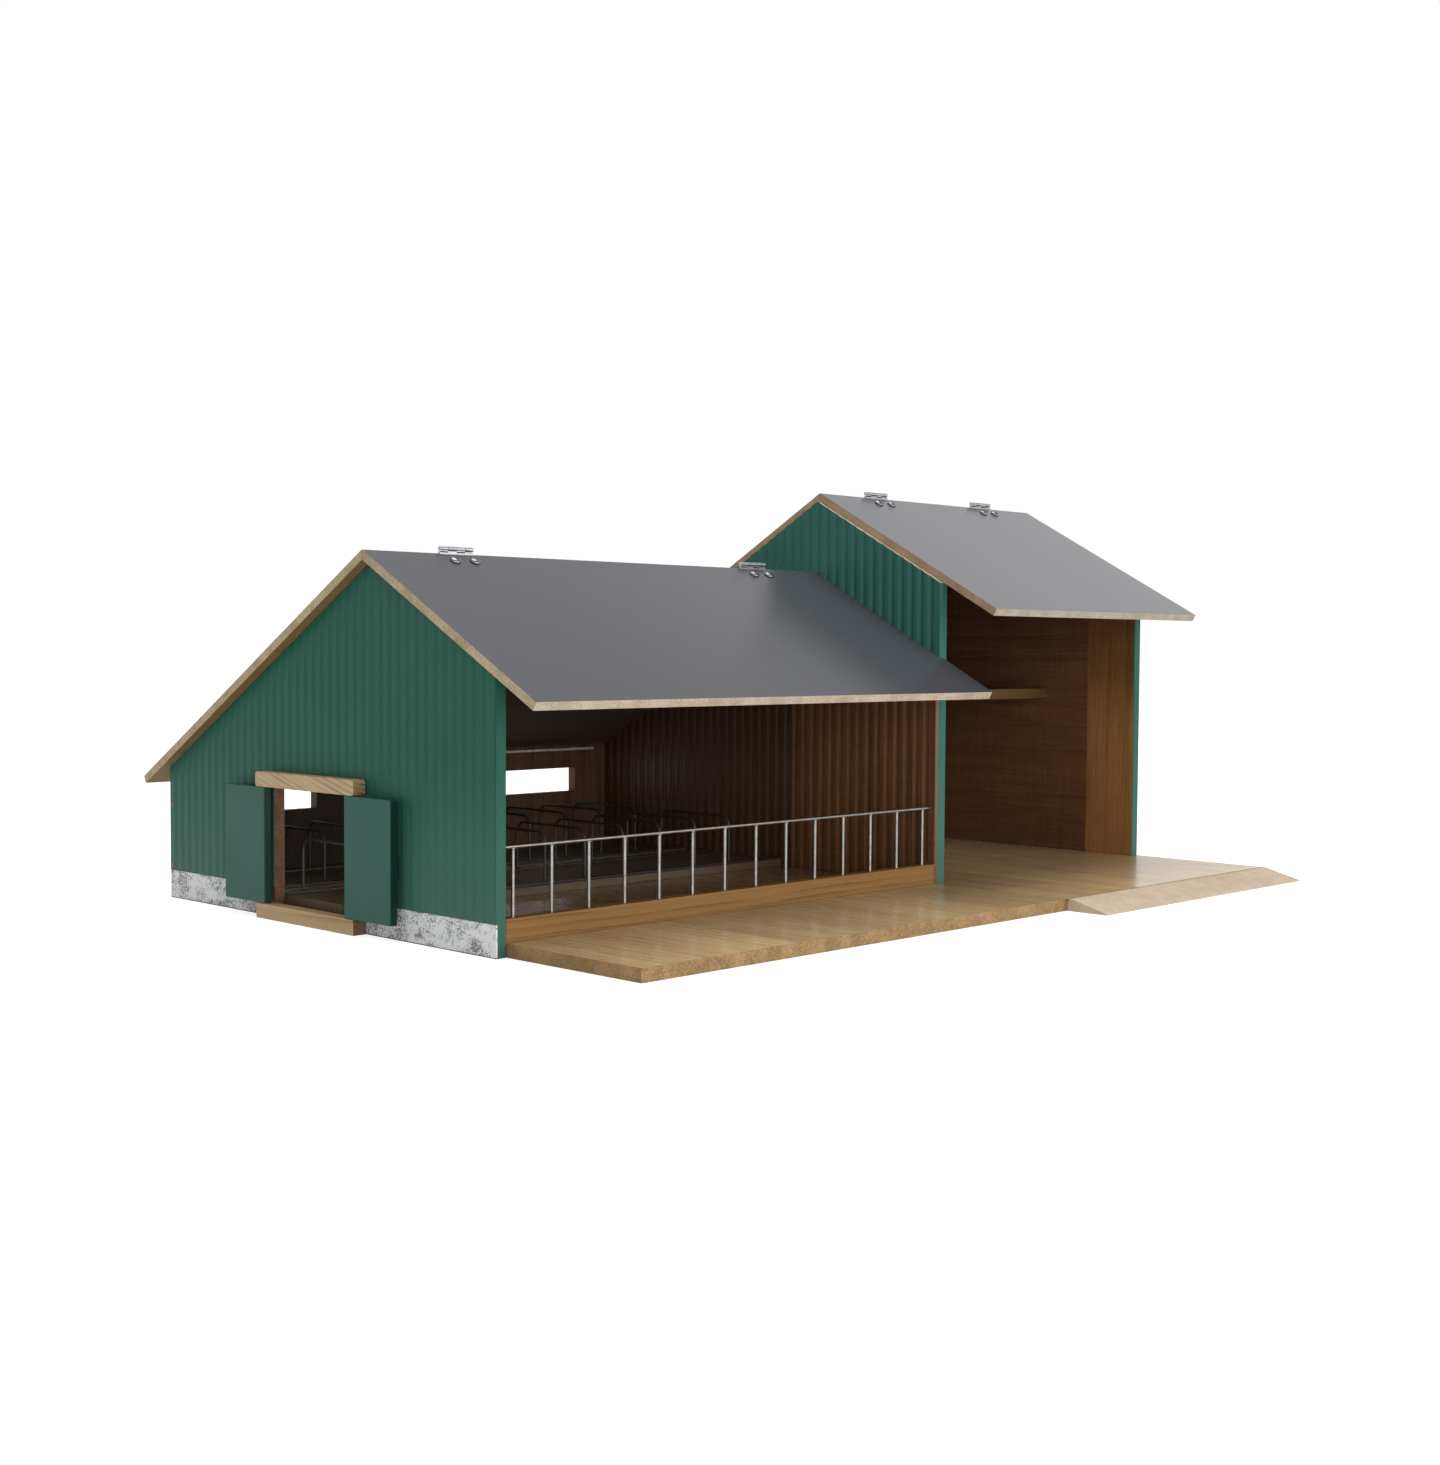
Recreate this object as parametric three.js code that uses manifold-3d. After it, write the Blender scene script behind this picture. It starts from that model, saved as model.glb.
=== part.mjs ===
import * as THREE from 'three';
import { mergeVertices } from 'three/addons/utils/BufferGeometryUtils.js';
import Module from 'manifold-3d';

const wasm = await Module();
wasm.setup();

// A toy farm building of thin boards: a low cattle barn on the left and a taller machine shed on
// the right, each under a pitched roof whose front panel swings up on two ridge hinges. Sizes are in
// millimetres. X runs along the ridges, Y from the open front to the back walls, and Z is up. The
// working origin is the left gable's outer face at its front lower corner.

// Plan
const barnDepth = 400;
const lowLength = 445;
const shedLength = 297;
const apronDepth = 124;
const rampDepth = 35;

// Boards and the gaps between them
const boardThickness = 9;
const liningThickness = 3.8;
const wallPastFloorJoint = 2.5;
const floorThickness = 9;
const easedEdge = 0.6;
const glueGap = 0.2;
const seatGap = 0.3;
const cutOverrun = 20;

// Vertical grooves of the siding
const groovePitch = 10;
const grooveWidth = 6.4;
const grooveDepth = 0.9;
const grooveSlope = 2.4;

// Roofs
const ridgeFromFront = 131;
const lowBackHeight = 105.16;
const shedBackHeight = 171.16;
const frontPitch = THREE.MathUtils.degToRad(28.4);
const rearPitch = THREE.MathUtils.degToRad(29.5);
const roofThickness = 6;
const lowFrontOverhang = 49;
const shedFrontOverhang = 52;
const rearOverhang = 25.5;
const lowEndOverhang = 8;
const shedEndOverhang = 6;
const eaveOverWall = 3;
const roofSideGap = 0.6;
const ridgeGap = 1;
const wallFrontClearance = 1;

// Ridge hinges
const hingeLength = 29;
const lowHingeInset = 78;
const shedHingeInset = 73.2;
const hingeRise = 3.2;
const barrelRadius = 1.6;
const hingePinRadius = 0.7;
const runningGap = 0.3;
const leafThickness = 0.8;
const leafReach = 20;
const webGap = 0.2;
const knuckleCount = 4;

// Roof screws with their nuts
const screwSpacing = 17;
const screwDrop = 12;
const screwRadius = 1.5;
const screwHeadRadius = 4;
const screwHeadHeight = 2.3;
const screwShoulderShare = 0.35;
const screwCrownShare = 0.85;
const screwCrownWidthShare = 0.6;
const nutRadius = 3.1;
const nutHeight = 2.2;
const screwTail = 1;

// Side doorway in the left gable
const doorwayWidth = 106;
const doorwayHeight = 87;
const lintelPastDoorway = 8;
const lintelPastDoor = 0.1;
const lintelHeight = 10.5;
const lintelOverlap = 1.5;
const lintelRounding = 1.6;
const thresholdPastDoorway = 7.5;
const thresholdHeight = 10.5;

// Doors and their pivot pins
const doorThickness = 5.8;
const doorStandOff = 4.1;
const doorEndGap = 0.5;
const doorMeetingGap = 2.5;
const pivotInset = 2.5;
const pivotFromJamb = 1;
const pivotRadius = 1;
const pivotDepth = 5;
const handleWidth = 7;
const handleHeight = 15;
const handleDepth = 3.4;
const handleFromEdge = 2;
const handleFromFoot = 30;

// Concrete-look plinth strip
const plinthHeight = 21.5;
const plinthThickness = 1.2;
const plinthRecess = 0.6;

// Windows in the low back wall
const windowWidth = 88.5;
const windowHeight = 22;
const windowBelowEave = 21.16;
const windowFromEnd = 38.5;

// Wire bar above the right window
const barBelowEave = 3.66;
const barStandOff = 6;
const barPastWindow = 19;
const barRadius = 1.2;
const barBend = 3;

// Feed fence
const feedBoardHeight = 15;
const feedBoardFromFront = 0.5;
const railHeight = 69;
const fenceWireRadius = 1.2;
const fencePostStart = 9;
const fencePostPitch = 31.95;
const postSocketDepth = 8;

// Stalls
const stallHoops = 10;
const firstHoopFromGable = 16;
const lastHoopFromPartition = 57.4;
const stallBaseThickness = 6;
const stallFrameTop = 55.7;
const stallFrameLength = 84;
const stallWireRadius = 1.1;
const stallBend = 9;
const footStripWidth = 6;
const footStripThickness = 1.2;
const stallBaseMargin = 6;
const rearRowFromBack = 21;
const stallRowGap = 31;

// Machine shed
const loftBelowEave = 12.16;
const loftFromFront = 93;

// Ramp
const rampLanding = 3.5;
const rampToe = 0.8;

// Steps round a full turn for each kind of round piece
const wireSides = 6;
const pinSides = 8;
const barrelSides = 10;
const bendSteps = 4;

const shedStart = lowLength + glueGap;
const shedEnd = lowLength + shedLength;
const partitionFace = shedStart + wallPastFloorJoint;
const liningFace = partitionFace - glueGap - liningThickness;
const lowInner = [boardThickness + glueGap, liningFace - glueGap];
const shedInner = [partitionFace + boardThickness + glueGap, shedEnd - boardThickness - glueGap];
const backInner = barnDepth - boardThickness;
const floorTop = floorThickness + glueGap;

// Heights that follow from the back walls: each ridge stands where its rear slope clears the wall
const rearRise = (roofThickness + seatGap) / Math.cos(rearPitch)
  + (backInner - ridgeFromFront) * Math.tan(rearPitch);
const lowRidgeHeight = lowBackHeight + rearRise;
const shedRidgeHeight = shedBackHeight + rearRise;
const windowTop = lowBackHeight - windowBelowEave;
const barHeight = lowBackHeight - barBelowEave;
const loftHeight = shedBackHeight - loftBelowEave;
const lintelProjection = doorStandOff + doorThickness + lintelPastDoor;

const colours = {
  green: { color: 0x2f6b55, roughness: 0.55, metalness: 0 },
  veneer: { color: 0x7a5638, roughness: 0.6, metalness: 0 },
  floor: { color: 0xb08d62, roughness: 0.5, metalness: 0 },
  roof: { color: 0x5d5f63, roughness: 0.4, metalness: 0 },
  pine: { color: 0xc9a97a, roughness: 0.6, metalness: 0 },
  beech: { color: 0xcbb08a, roughness: 0.6, metalness: 0 },
  concrete: { color: 0xc4c4c4, roughness: 0.8, metalness: 0 },
  zinc: { color: 0xc9cacc, roughness: 0.3, metalness: 0.9 },
  wire: { color: 0xb9b9b6, roughness: 0.35, metalness: 0.9 },
};
const finishes = {};
for (const [name, values] of Object.entries(colours)) {
  finishes[name] = new THREE.MeshStandardMaterial(values);
}

const barn = new THREE.Group();
barn.position.set(
  -(shedEnd + shedEndOverhang - Math.max(lowEndOverhang, lintelProjection)) / 2,
  -(barnDepth + rearOverhang - apronDepth - rampDepth) / 2,
  0,
);

function solidOf(geometry) {
  const bare = geometry.clone();
  bare.deleteAttribute('normal');
  bare.deleteAttribute('uv');
  const merged = mergeVertices(bare);
  const vertProperties = new Float32Array(merged.attributes.position.array);
  const triVerts = new Uint32Array(merged.index.array);
  return new wasm.Manifold(new wasm.Mesh({ numProp: 3, vertProperties, triVerts }));
}

function geometryOf(solid) {
  const { vertProperties, triVerts } = solid.getMesh();
  const geometry = new THREE.BufferGeometry();
  geometry.setAttribute('position', new THREE.BufferAttribute(vertProperties, 3));
  geometry.setIndex(new THREE.BufferAttribute(triVerts, 1));
  geometry.computeVertexNormals();
  return geometry;
}

function cut(body, tools) {
  return tools.reduce((rest, tool) => rest.subtract(solidOf(tool)), body);
}

function joined(geometries) {
  return geometries.map(solidOf).reduce((sum, next) => sum.add(next));
}

function add(parent, name, shape, finish) {
  const geometry = shape.isBufferGeometry ? shape : geometryOf(shape);
  const mesh = new THREE.Mesh(geometry, finishes[finish]);
  mesh.name = name;
  parent.add(mesh);
  return mesh;
}

function frameAt(parent, x, y, z, turn = 0) {
  const group = new THREE.Group();
  group.position.set(x, y, z);
  group.rotation.x = turn;
  parent.add(group);
  return group;
}

// A box between two corners
function block([x0, y0, z0], [x1, y1, z1]) {
  const geometry = new THREE.BoxGeometry(x1 - x0, y1 - y0, z1 - z0);
  return geometry.translate((x0 + x1) / 2, (y0 + y1) / 2, (z0 + z1) / 2);
}

// A plan outline raised from base to top
function raised(points, base, top) {
  const outline = new THREE.Shape(points.map(([x, y]) => new THREE.Vector2(x, y)));
  const geometry = new THREE.ExtrudeGeometry(outline, { depth: top - base, bevelEnabled: false });
  return geometry.translate(0, 0, base);
}

// A Y-Z section run along X from start to end
function alongX(section, start, end, curveSegments = 1) {
  const outline = section instanceof THREE.Shape ? section
    : new THREE.Shape(section.map(([y, z]) => new THREE.Vector2(y, z)));
  const options = { depth: end - start, bevelEnabled: false, curveSegments };
  const geometry = new THREE.ExtrudeGeometry(outline, options);
  const turn = new THREE.Matrix4().set(0, 0, 1, start, 1, 0, 0, 0, 0, 1, 0, 0, 0, 0, 0, 1);
  return geometry.applyMatrix4(turn);
}

// A rectangle in plan with its four corners eased
function easedPlan([x0, y0], [x1, y1], edge = easedEdge) {
  return [
    [x0 + edge, y0], [x1 - edge, y0], [x1, y0 + edge], [x1, y1 - edge],
    [x1 - edge, y1], [x0 + edge, y1], [x0, y1 - edge], [x0, y0 + edge],
  ];
}

function easedBlock([x0, y0, z0], [x1, y1, z1]) {
  return raised(easedPlan([x0, y0], [x1, y1]), z0, z1);
}

function upright(radius, x, y, base, top, sides = pinSides) {
  const geometry = new THREE.CylinderGeometry(radius, radius, top - base, sides);
  return geometry.rotateX(Math.PI / 2).translate(x, y, (base + top) / 2);
}

// Wire bent through a list of points, with a ring of vertices at each point
class BentWire extends THREE.Curve {
  constructor(points) {
    super();
    this.points = points;
  }

  getPointAt(share, target = new THREE.Vector3()) {
    const place = share * (this.points.length - 1);
    const index = Math.min(Math.floor(place), this.points.length - 2);
    return target.lerpVectors(this.points[index], this.points[index + 1], place - index);
  }

  getPoint(share, target) {
    return this.getPointAt(share, target);
  }

  getTangentAt(share, target = new THREE.Vector3()) {
    const index = Math.round(share * (this.points.length - 1));
    const before = this.points[Math.max(index - 1, 0)];
    const after = this.points[Math.min(index + 1, this.points.length - 1)];
    return target.subVectors(after, before).normalize();
  }
}

// A staple of wire in the plane of two directions: up one leg, along the span and down the other
function staple(origin, along, up, span, rise, bend, radius) {
  const points = [origin.clone()];
  for (const [side, from] of [[1, Math.PI], [-1, Math.PI / 2]]) {
    const centre = side > 0 ? bend : span - bend;
    for (let step = 0; step <= bendSteps; step += 1) {
      const angle = from - (step / bendSteps) * (Math.PI / 2);
      const reach = centre + bend * Math.cos(angle);
      const height = rise - bend + bend * Math.sin(angle);
      points.push(origin.clone().addScaledVector(along, reach).addScaledVector(up, height));
    }
  }
  points.push(origin.clone().addScaledVector(along, span));
  const ring = new THREE.Shape();
  ring.absarc(0, 0, radius, 0, Math.PI * 2);
  const steps = points.length - 1;
  const options = { extrudePath: new BentWire(points), steps, curveSegments: wireSides / 2 };
  return new THREE.ExtrudeGeometry(ring, options);
}

// Height of the space under a roof with its ridge at ridgeHeight, as a solid over the walls
function underRoof(ridgeHeight, start, end) {
  const drop = (pitch) => (roofThickness + seatGap) / Math.cos(pitch);
  const front = -cutOverrun;
  const back = barnDepth + cutOverrun;
  const frontTop = ridgeHeight - drop(frontPitch);
  const rearTop = ridgeHeight - drop(rearPitch);
  return solidOf(alongX([
    [front, -cutOverrun],
    [back, -cutOverrun],
    [back, rearTop - (back - ridgeFromFront) * Math.tan(rearPitch)],
    [ridgeFromFront, Math.min(frontTop, rearTop)],
    [front, frontTop - (ridgeFromFront - front) * Math.tan(frontPitch)],
  ], start - cutOverrun, end + cutOverrun));
}

// Plan of a board with vertical grooves on one face: a runs along it, b goes in from that face
function groovedPlan(length, thickness, place) {
  const count = Math.floor((length - grooveWidth) / groovePitch);
  const first = (length - (count - 1) * groovePitch) / 2;
  const points = [[easedEdge, 0]];
  for (let groove = 0; groove < count; groove += 1) {
    const middle = first + groove * groovePitch;
    const left = middle - grooveWidth / 2;
    const right = middle + grooveWidth / 2;
    points.push([left, 0], [left + grooveSlope, grooveDepth]);
    points.push([right - grooveSlope, grooveDepth], [right, 0]);
  }
  points.push([length - easedEdge, 0], [length, easedEdge], [length, thickness - easedEdge]);
  points.push([length - easedEdge, thickness], [easedEdge, thickness]);
  points.push([0, thickness - easedEdge], [0, easedEdge]);
  return points.map(([a, b]) => place(a, b));
}

// A side wall with its grooved face at x, facing left (inward 1) or right (inward -1)
function sideWall(x, inward, base, ridgeHeight, thickness = boardThickness) {
  const plan = groovedPlan(barnDepth, thickness, (a, b) => [x + inward * b, a]);
  return solidOf(raised(plan, base, ridgeHeight)).intersect(underRoof(ridgeHeight, x, x));
}

// A back wall between two side walls, grooved on its outer face
function backWall([start, end], ridgeHeight) {
  const plan = groovedPlan(end - start, boardThickness, (a, b) => [start + a, barnDepth - b]);
  return solidOf(raised(plan, floorTop, ridgeHeight)).intersect(underRoof(ridgeHeight, start, end));
}

function addFloors() {
  const front = -apronDepth;
  const lowFloor = easedBlock([lowInner[0], front, 0], [lowLength, barnDepth, floorThickness]);
  const shedFloor = easedBlock([shedStart, front, 0], [shedEnd, barnDepth, floorThickness]);
  add(barn, 'low_barn_floor', lowFloor, 'floor');
  add(barn, 'shed_floor', shedFloor, 'floor');
  const ramp = alongX([
    [front - glueGap, 0],
    [front - glueGap, floorThickness],
    [front - rampLanding, floorThickness],
    [front - rampDepth, rampToe],
    [front - rampDepth, 0],
  ], shedStart, shedEnd);
  add(barn, 'loading_ramp', ramp, 'beech');
}

const doorwayMiddle = barnDepth / 2;
const doorway = [doorwayMiddle - doorwayWidth / 2, doorwayMiddle + doorwayWidth / 2];
const doorwayTop = floorThickness + doorwayHeight;
const lintelFoot = doorwayTop - lintelOverlap;
const plinthBack = plinthRecess + plinthThickness;

function doorwayCut(base) {
  const near = [-cutOverrun, doorway[0], base];
  return block(near, [boardThickness + cutOverrun, doorway[1], doorwayTop]);
}

function addLeftGable() {
  const rebate = block(
    [-cutOverrun, -cutOverrun, -cutOverrun],
    [plinthBack + glueGap, barnDepth + cutOverrun, plinthHeight],
  );
  const wall = cut(sideWall(0, 1, 0, lowRidgeHeight), [rebate, doorwayCut(floorThickness)]);
  add(barn, 'left_gable_wall', wall, 'green');
  const strip = block([plinthRecess, 0, 0], [plinthBack, barnDepth, plinthHeight - glueGap]);
  add(barn, 'plinth_strip', cut(solidOf(strip), [doorwayCut(floorThickness)]), 'concrete');
}

function addLowBackWall() {
  const sills = [windowFromEnd, lowLength - windowFromEnd - windowWidth];
  const windows = sills.map((x) => block(
    [x, backInner - cutOverrun, windowTop - windowHeight],
    [x + windowWidth, barnDepth + cutOverrun, windowTop],
  ));
  add(barn, 'low_back_wall', cut(backWall(lowInner, lowRidgeHeight), windows), 'green');
  const foot = new THREE.Vector3(sills[1] - barPastWindow, backInner - seatGap, barHeight);
  const along = new THREE.Vector3(1, 0, 0);
  const out = new THREE.Vector3(0, -1, 0);
  const span = windowWidth + 2 * barPastWindow;
  const bar = staple(foot, along, out, span, barStandOff - seatGap, barBend, barRadius);
  add(barn, 'window_bar', bar, 'wire');
}

function addOtherWalls() {
  const lining = sideWall(liningFace, 1, floorTop, lowRidgeHeight, liningThickness);
  add(barn, 'partition_lining', lining, 'veneer');
  const partition = sideWall(partitionFace, 1, floorTop, shedRidgeHeight);
  add(barn, 'partition_wall', partition, 'green');
  const gable = sideWall(shedEnd, -1, floorTop, shedRidgeHeight);
  add(barn, 'right_gable_wall', gable, 'green');
  add(barn, 'shed_back_wall', backWall(shedInner, shedRidgeHeight), 'green');
  const shelf = block(
    [shedInner[0], loftFromFront, loftHeight - boardThickness],
    [shedInner[1], backInner - glueGap, loftHeight],
  );
  add(barn, 'loft_shelf', shelf, 'veneer');
}

// Doors: the pivots stand in front of the wall, between the lintel and the threshold
const doorFoot = thresholdHeight + doorEndGap;
const doorTop = lintelFoot - doorEndGap;
const doorWidth = doorwayWidth / 2 - pivotFromJamb - doorMeetingGap / 2 + pivotInset;
const pivotX = -(doorStandOff + doorThickness / 2);
const pivotBore = pivotRadius + runningGap;

function addDoorSurround() {
  const pivots = [doorway[0] + pivotFromJamb, doorway[1] - pivotFromJamb];
  const half = doorwayWidth / 2 + lintelPastDoorway;
  const rounded = easedPlan([doorwayMiddle - half, lintelFoot],
    [doorwayMiddle + half, lintelFoot + lintelHeight], lintelRounding);
  const lintelBody = alongX(rounded, -lintelProjection, -glueGap);
  const sockets = pivots.map((y) => upright(
    pivotBore, pivotX, y, lintelFoot - cutOverrun, lintelFoot + pivotDepth + runningGap));
  add(barn, 'door_lintel', cut(solidOf(lintelBody), sockets), 'pine');
  const reach = doorwayWidth / 2 + thresholdPastDoorway;
  const step = block(
    [-lintelProjection, doorwayMiddle - reach, 0],
    [plinthRecess - glueGap, doorwayMiddle + reach, thresholdHeight],
  );
  const cups = pivots.map((y) => upright(
    pivotBore, pivotX, y, thresholdHeight - pivotDepth - runningGap, thresholdHeight + cutOverrun));
  add(barn, 'door_threshold', cut(solidOf(step), cups), 'pine');
}

// A door in its own frame: pivot axis at the origin, leaf running along +Y, handle towards the wall
function addDoor(name, y, side) {
  const frame = frameAt(barn, pivotX, y, 0);
  const span = [-side * pivotInset, side * (doorWidth - pivotInset)].sort((a, b) => a - b);
  const half = doorThickness / 2;
  const leaf = easedBlock([-half, span[0], doorFoot], [half, span[1], doorTop]);
  const bores = [
    upright(pivotBore, 0, 0, doorFoot - cutOverrun, doorFoot + pivotDepth + runningGap),
    upright(pivotBore, 0, 0, doorTop - pivotDepth - runningGap, doorTop + cutOverrun),
  ];
  add(frame, `${name}_door`, cut(solidOf(leaf), bores), 'green');
  const pinReach = pivotDepth;
  const foot = upright(pivotRadius, 0, 0, thresholdHeight - pinReach, doorFoot + pinReach);
  const head = upright(pivotRadius, 0, 0, doorTop - pinReach, lintelFoot + pinReach);
  add(frame, `${name}_door_foot_pin`, foot, 'zinc');
  add(frame, `${name}_door_head_pin`, head, 'zinc');
  const outer = side * (doorWidth - pivotInset - handleFromEdge);
  const grip = [outer - side * handleWidth, outer].sort((a, b) => a - b);
  const base = doorFoot + handleFromFoot;
  const handle = easedBlock([half + glueGap, grip[0], base], [half + handleDepth, grip[1],
    base + handleHeight]);
  add(frame, `${name}_door_handle`, handle, 'green');
}

function addFeedFence() {
  const [start, end] = lowInner;
  const back = feedBoardFromFront + boardThickness;
  const middle = feedBoardFromFront + boardThickness / 2;
  const boardTop = floorTop + feedBoardHeight;
  const board = block([start, feedBoardFromFront, floorTop], [end, back, boardTop]);
  const posts = [];
  for (let x = start + fencePostStart; x < end - fenceWireRadius; x += fencePostPitch) posts.push(x);
  const socketFoot = boardTop - postSocketDepth;
  const sockets = posts.map((x) => upright(
    fenceWireRadius + runningGap, x, middle, socketFoot, boardTop + cutOverrun, wireSides));
  add(barn, 'feed_board', cut(solidOf(board), sockets), 'pine');
  const rail = new THREE.CylinderGeometry(fenceWireRadius, fenceWireRadius, end - start, pinSides);
  rail.rotateZ(Math.PI / 2).translate((start + end) / 2, middle, railHeight);
  const wires = posts.map((x) => upright(
    fenceWireRadius, x, middle, socketFoot + runningGap, railHeight, wireSides));
  add(barn, 'feed_fence', joined([rail, ...wires]), 'wire');
}

// One row of stalls: a wooden base with a welded frame of wire hoops on two foot strips
function addStallRow(name, rowFront, baseFront, baseBack) {
  const [start, end] = lowInner;
  const baseTop = floorTop + stallBaseThickness;
  const base = block([start, baseFront, floorTop], [end, baseBack, baseTop]);
  add(barn, `${name}_stall_base`, base, 'pine');
  const stripFoot = baseTop + glueGap;
  const stripTop = stripFoot + footStripThickness;
  const firstLeg = rowFront + stallWireRadius;
  const span = stallFrameLength - 2 * stallWireRadius;
  const pieces = [firstLeg, firstLeg + span].map((y) => block(
    [start, y - footStripWidth / 2, stripFoot], [end, y + footStripWidth / 2, stripTop]));
  const foot = stripFoot + footStripThickness / 2;
  const rise = stallFrameTop - stallWireRadius - foot;
  const hoopSpan = end - start - firstHoopFromGable - lastHoopFromPartition;
  const stallPitch = hoopSpan / (stallHoops - 1);
  for (let hoop = 0; hoop < stallHoops; hoop += 1) {
    const x = start + firstHoopFromGable + hoop * stallPitch;
    const origin = new THREE.Vector3(x, firstLeg, foot);
    const back = new THREE.Vector3(0, 1, 0);
    const up = new THREE.Vector3(0, 0, 1);
    pieces.push(staple(origin, back, up, span, rise, stallBend, stallWireRadius));
  }
  add(barn, `${name}_stall_frame`, joined(pieces), 'wire');
}

// The slopes of a roof: side -1 falls to the front and side 1 to the back
const slopes = {
  front: { side: -1, pitch: frontPitch },
  rear: { side: 1, pitch: rearPitch },
};

// Places of a hinge's two screws, in the frame of its slope
function screwPlaces(hingeX, side) {
  return [-1, 1].map((end) => [hingeX + (end * screwSpacing) / 2, side * screwDrop]);
}

function slopeTurn({ side, pitch }) {
  return -side * pitch;
}

// Round holes square through a slope, for screws at the given places along X and down the slope
function screwHoles(places, slope, riseAbove, radius) {
  return places.map(([x, along]) => {
    const reach = roofThickness + cutOverrun;
    const hole = upright(radius, x, along, -reach, cutOverrun);
    return hole.rotateX(slopeTurn(slope)).translate(0, 0, -riseAbove);
  });
}

// A roof panel in the frame of its ridge, with notches for the hinge webs and holes for the screws
function roofPanel(slope, overhangEnd, [start, end], hinges) {
  const { side, pitch } = slope;
  const top = (reach) => -reach * Math.tan(pitch);
  const thick = roofThickness / Math.cos(pitch);
  const near = ridgeGap / 2;
  const under = overhangEnd - roofThickness * Math.sin(pitch);
  const body = solidOf(alongX([
    [side * near, top(near)],
    [side * overhangEnd, top(overhangEnd)],
    [side * under, top(overhangEnd) - roofThickness * Math.cos(pitch)],
    [side * near, top(near) - thick],
  ], start, end));
  const notchReach = webGap + leafThickness + runningGap;
  const halfNotch = hingeLength / 2 + runningGap;
  const notches = hinges.map((x) => block(
    [x - halfNotch, -notchReach, -thick - cutOverrun],
    [x + halfNotch, notchReach, cutOverrun],
  ));
  const places = hinges.flatMap((x) => screwPlaces(x, side));
  return cut(body, [...notches, ...screwHoles(places, slope, 0, screwRadius + runningGap)]);
}

function knuckle(index) {
  const width = hingeLength / knuckleCount;
  const start = -hingeLength / 2 + index * width + runningGap / 2;
  return [start, start + width - runningGap];
}

// One leaf of a ridge hinge, in the frame of its pin: knuckles, a web down through the ridge joint
// and a plate under the panel
function hingeLeaf(slope, firstKnuckle) {
  const { side, pitch } = slope;
  const bore = hingePinRadius + runningGap;
  const inner = webGap;
  const outer = webGap + leafThickness;
  const webTop = -(barrelRadius + runningGap);
  const plateTop = (reach) => (
    -hingeRise - (roofThickness + seatGap) / Math.cos(pitch) - reach * Math.tan(pitch));
  const far = outer + leafReach * Math.cos(pitch);
  const drop = leafThickness;
  const section = [
    [inner, webTop],
    [outer, webTop],
    [outer, plateTop(outer)],
    [far, plateTop(far)],
    [far - drop * Math.sin(pitch), plateTop(far) - drop * Math.cos(pitch)],
    [inner, plateTop(inner) - drop / Math.cos(pitch)],
  ].map(([y, z]) => [side * y, z]);
  const pieces = [alongX(section, -hingeLength / 2, hingeLength / 2)];
  const tongueTop = -(bore + barrelRadius) / 2;
  for (let index = firstKnuckle; index < knuckleCount; index += 2) {
    const [start, end] = knuckle(index);
    const ring = new THREE.Shape();
    ring.absarc(0, 0, barrelRadius, 0, Math.PI * 2);
    const hole = new THREE.Path();
    hole.absarc(0, 0, bore, 0, Math.PI * 2);
    ring.holes.push(hole);
    pieces.push(alongX(ring, start, end, barrelSides / 2));
    const ends = [side * inner, side * outer].sort((a, b) => a - b);
    pieces.push(block([start, ends[0], webTop - drop], [end, ends[1], tongueTop]));
  }
  const holes = screwHoles(screwPlaces(0, side), slope, hingeRise, screwRadius + runningGap);
  return cut(joined(pieces), holes);
}

// A domed screw through a panel and a hinge leaf, with the nut that holds it
function screwAndNut() {
  const leafUnder = -(roofThickness + seatGap + leafThickness);
  const nutTop = leafUnder - seatGap;
  const nutFoot = nutTop - nutHeight;
  const shoulder = seatGap + screwHeadHeight * screwShoulderShare;
  const crown = seatGap + screwHeadHeight * screwCrownShare;
  const profile = [
    [0, nutFoot - screwTail],
    [screwRadius, nutFoot - screwTail],
    [screwRadius, nutFoot],
    [nutRadius, nutFoot],
    [nutRadius, nutTop],
    [screwRadius, nutTop],
    [screwRadius, seatGap],
    [screwHeadRadius, seatGap],
    [screwHeadRadius, shoulder],
    [screwHeadRadius * screwCrownWidthShare, crown],
    [0, seatGap + screwHeadHeight],
  ].map(([radius, height]) => new THREE.Vector2(radius, height));
  return new THREE.LatheGeometry(profile, pinSides).rotateX(Math.PI / 2);
}

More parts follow.
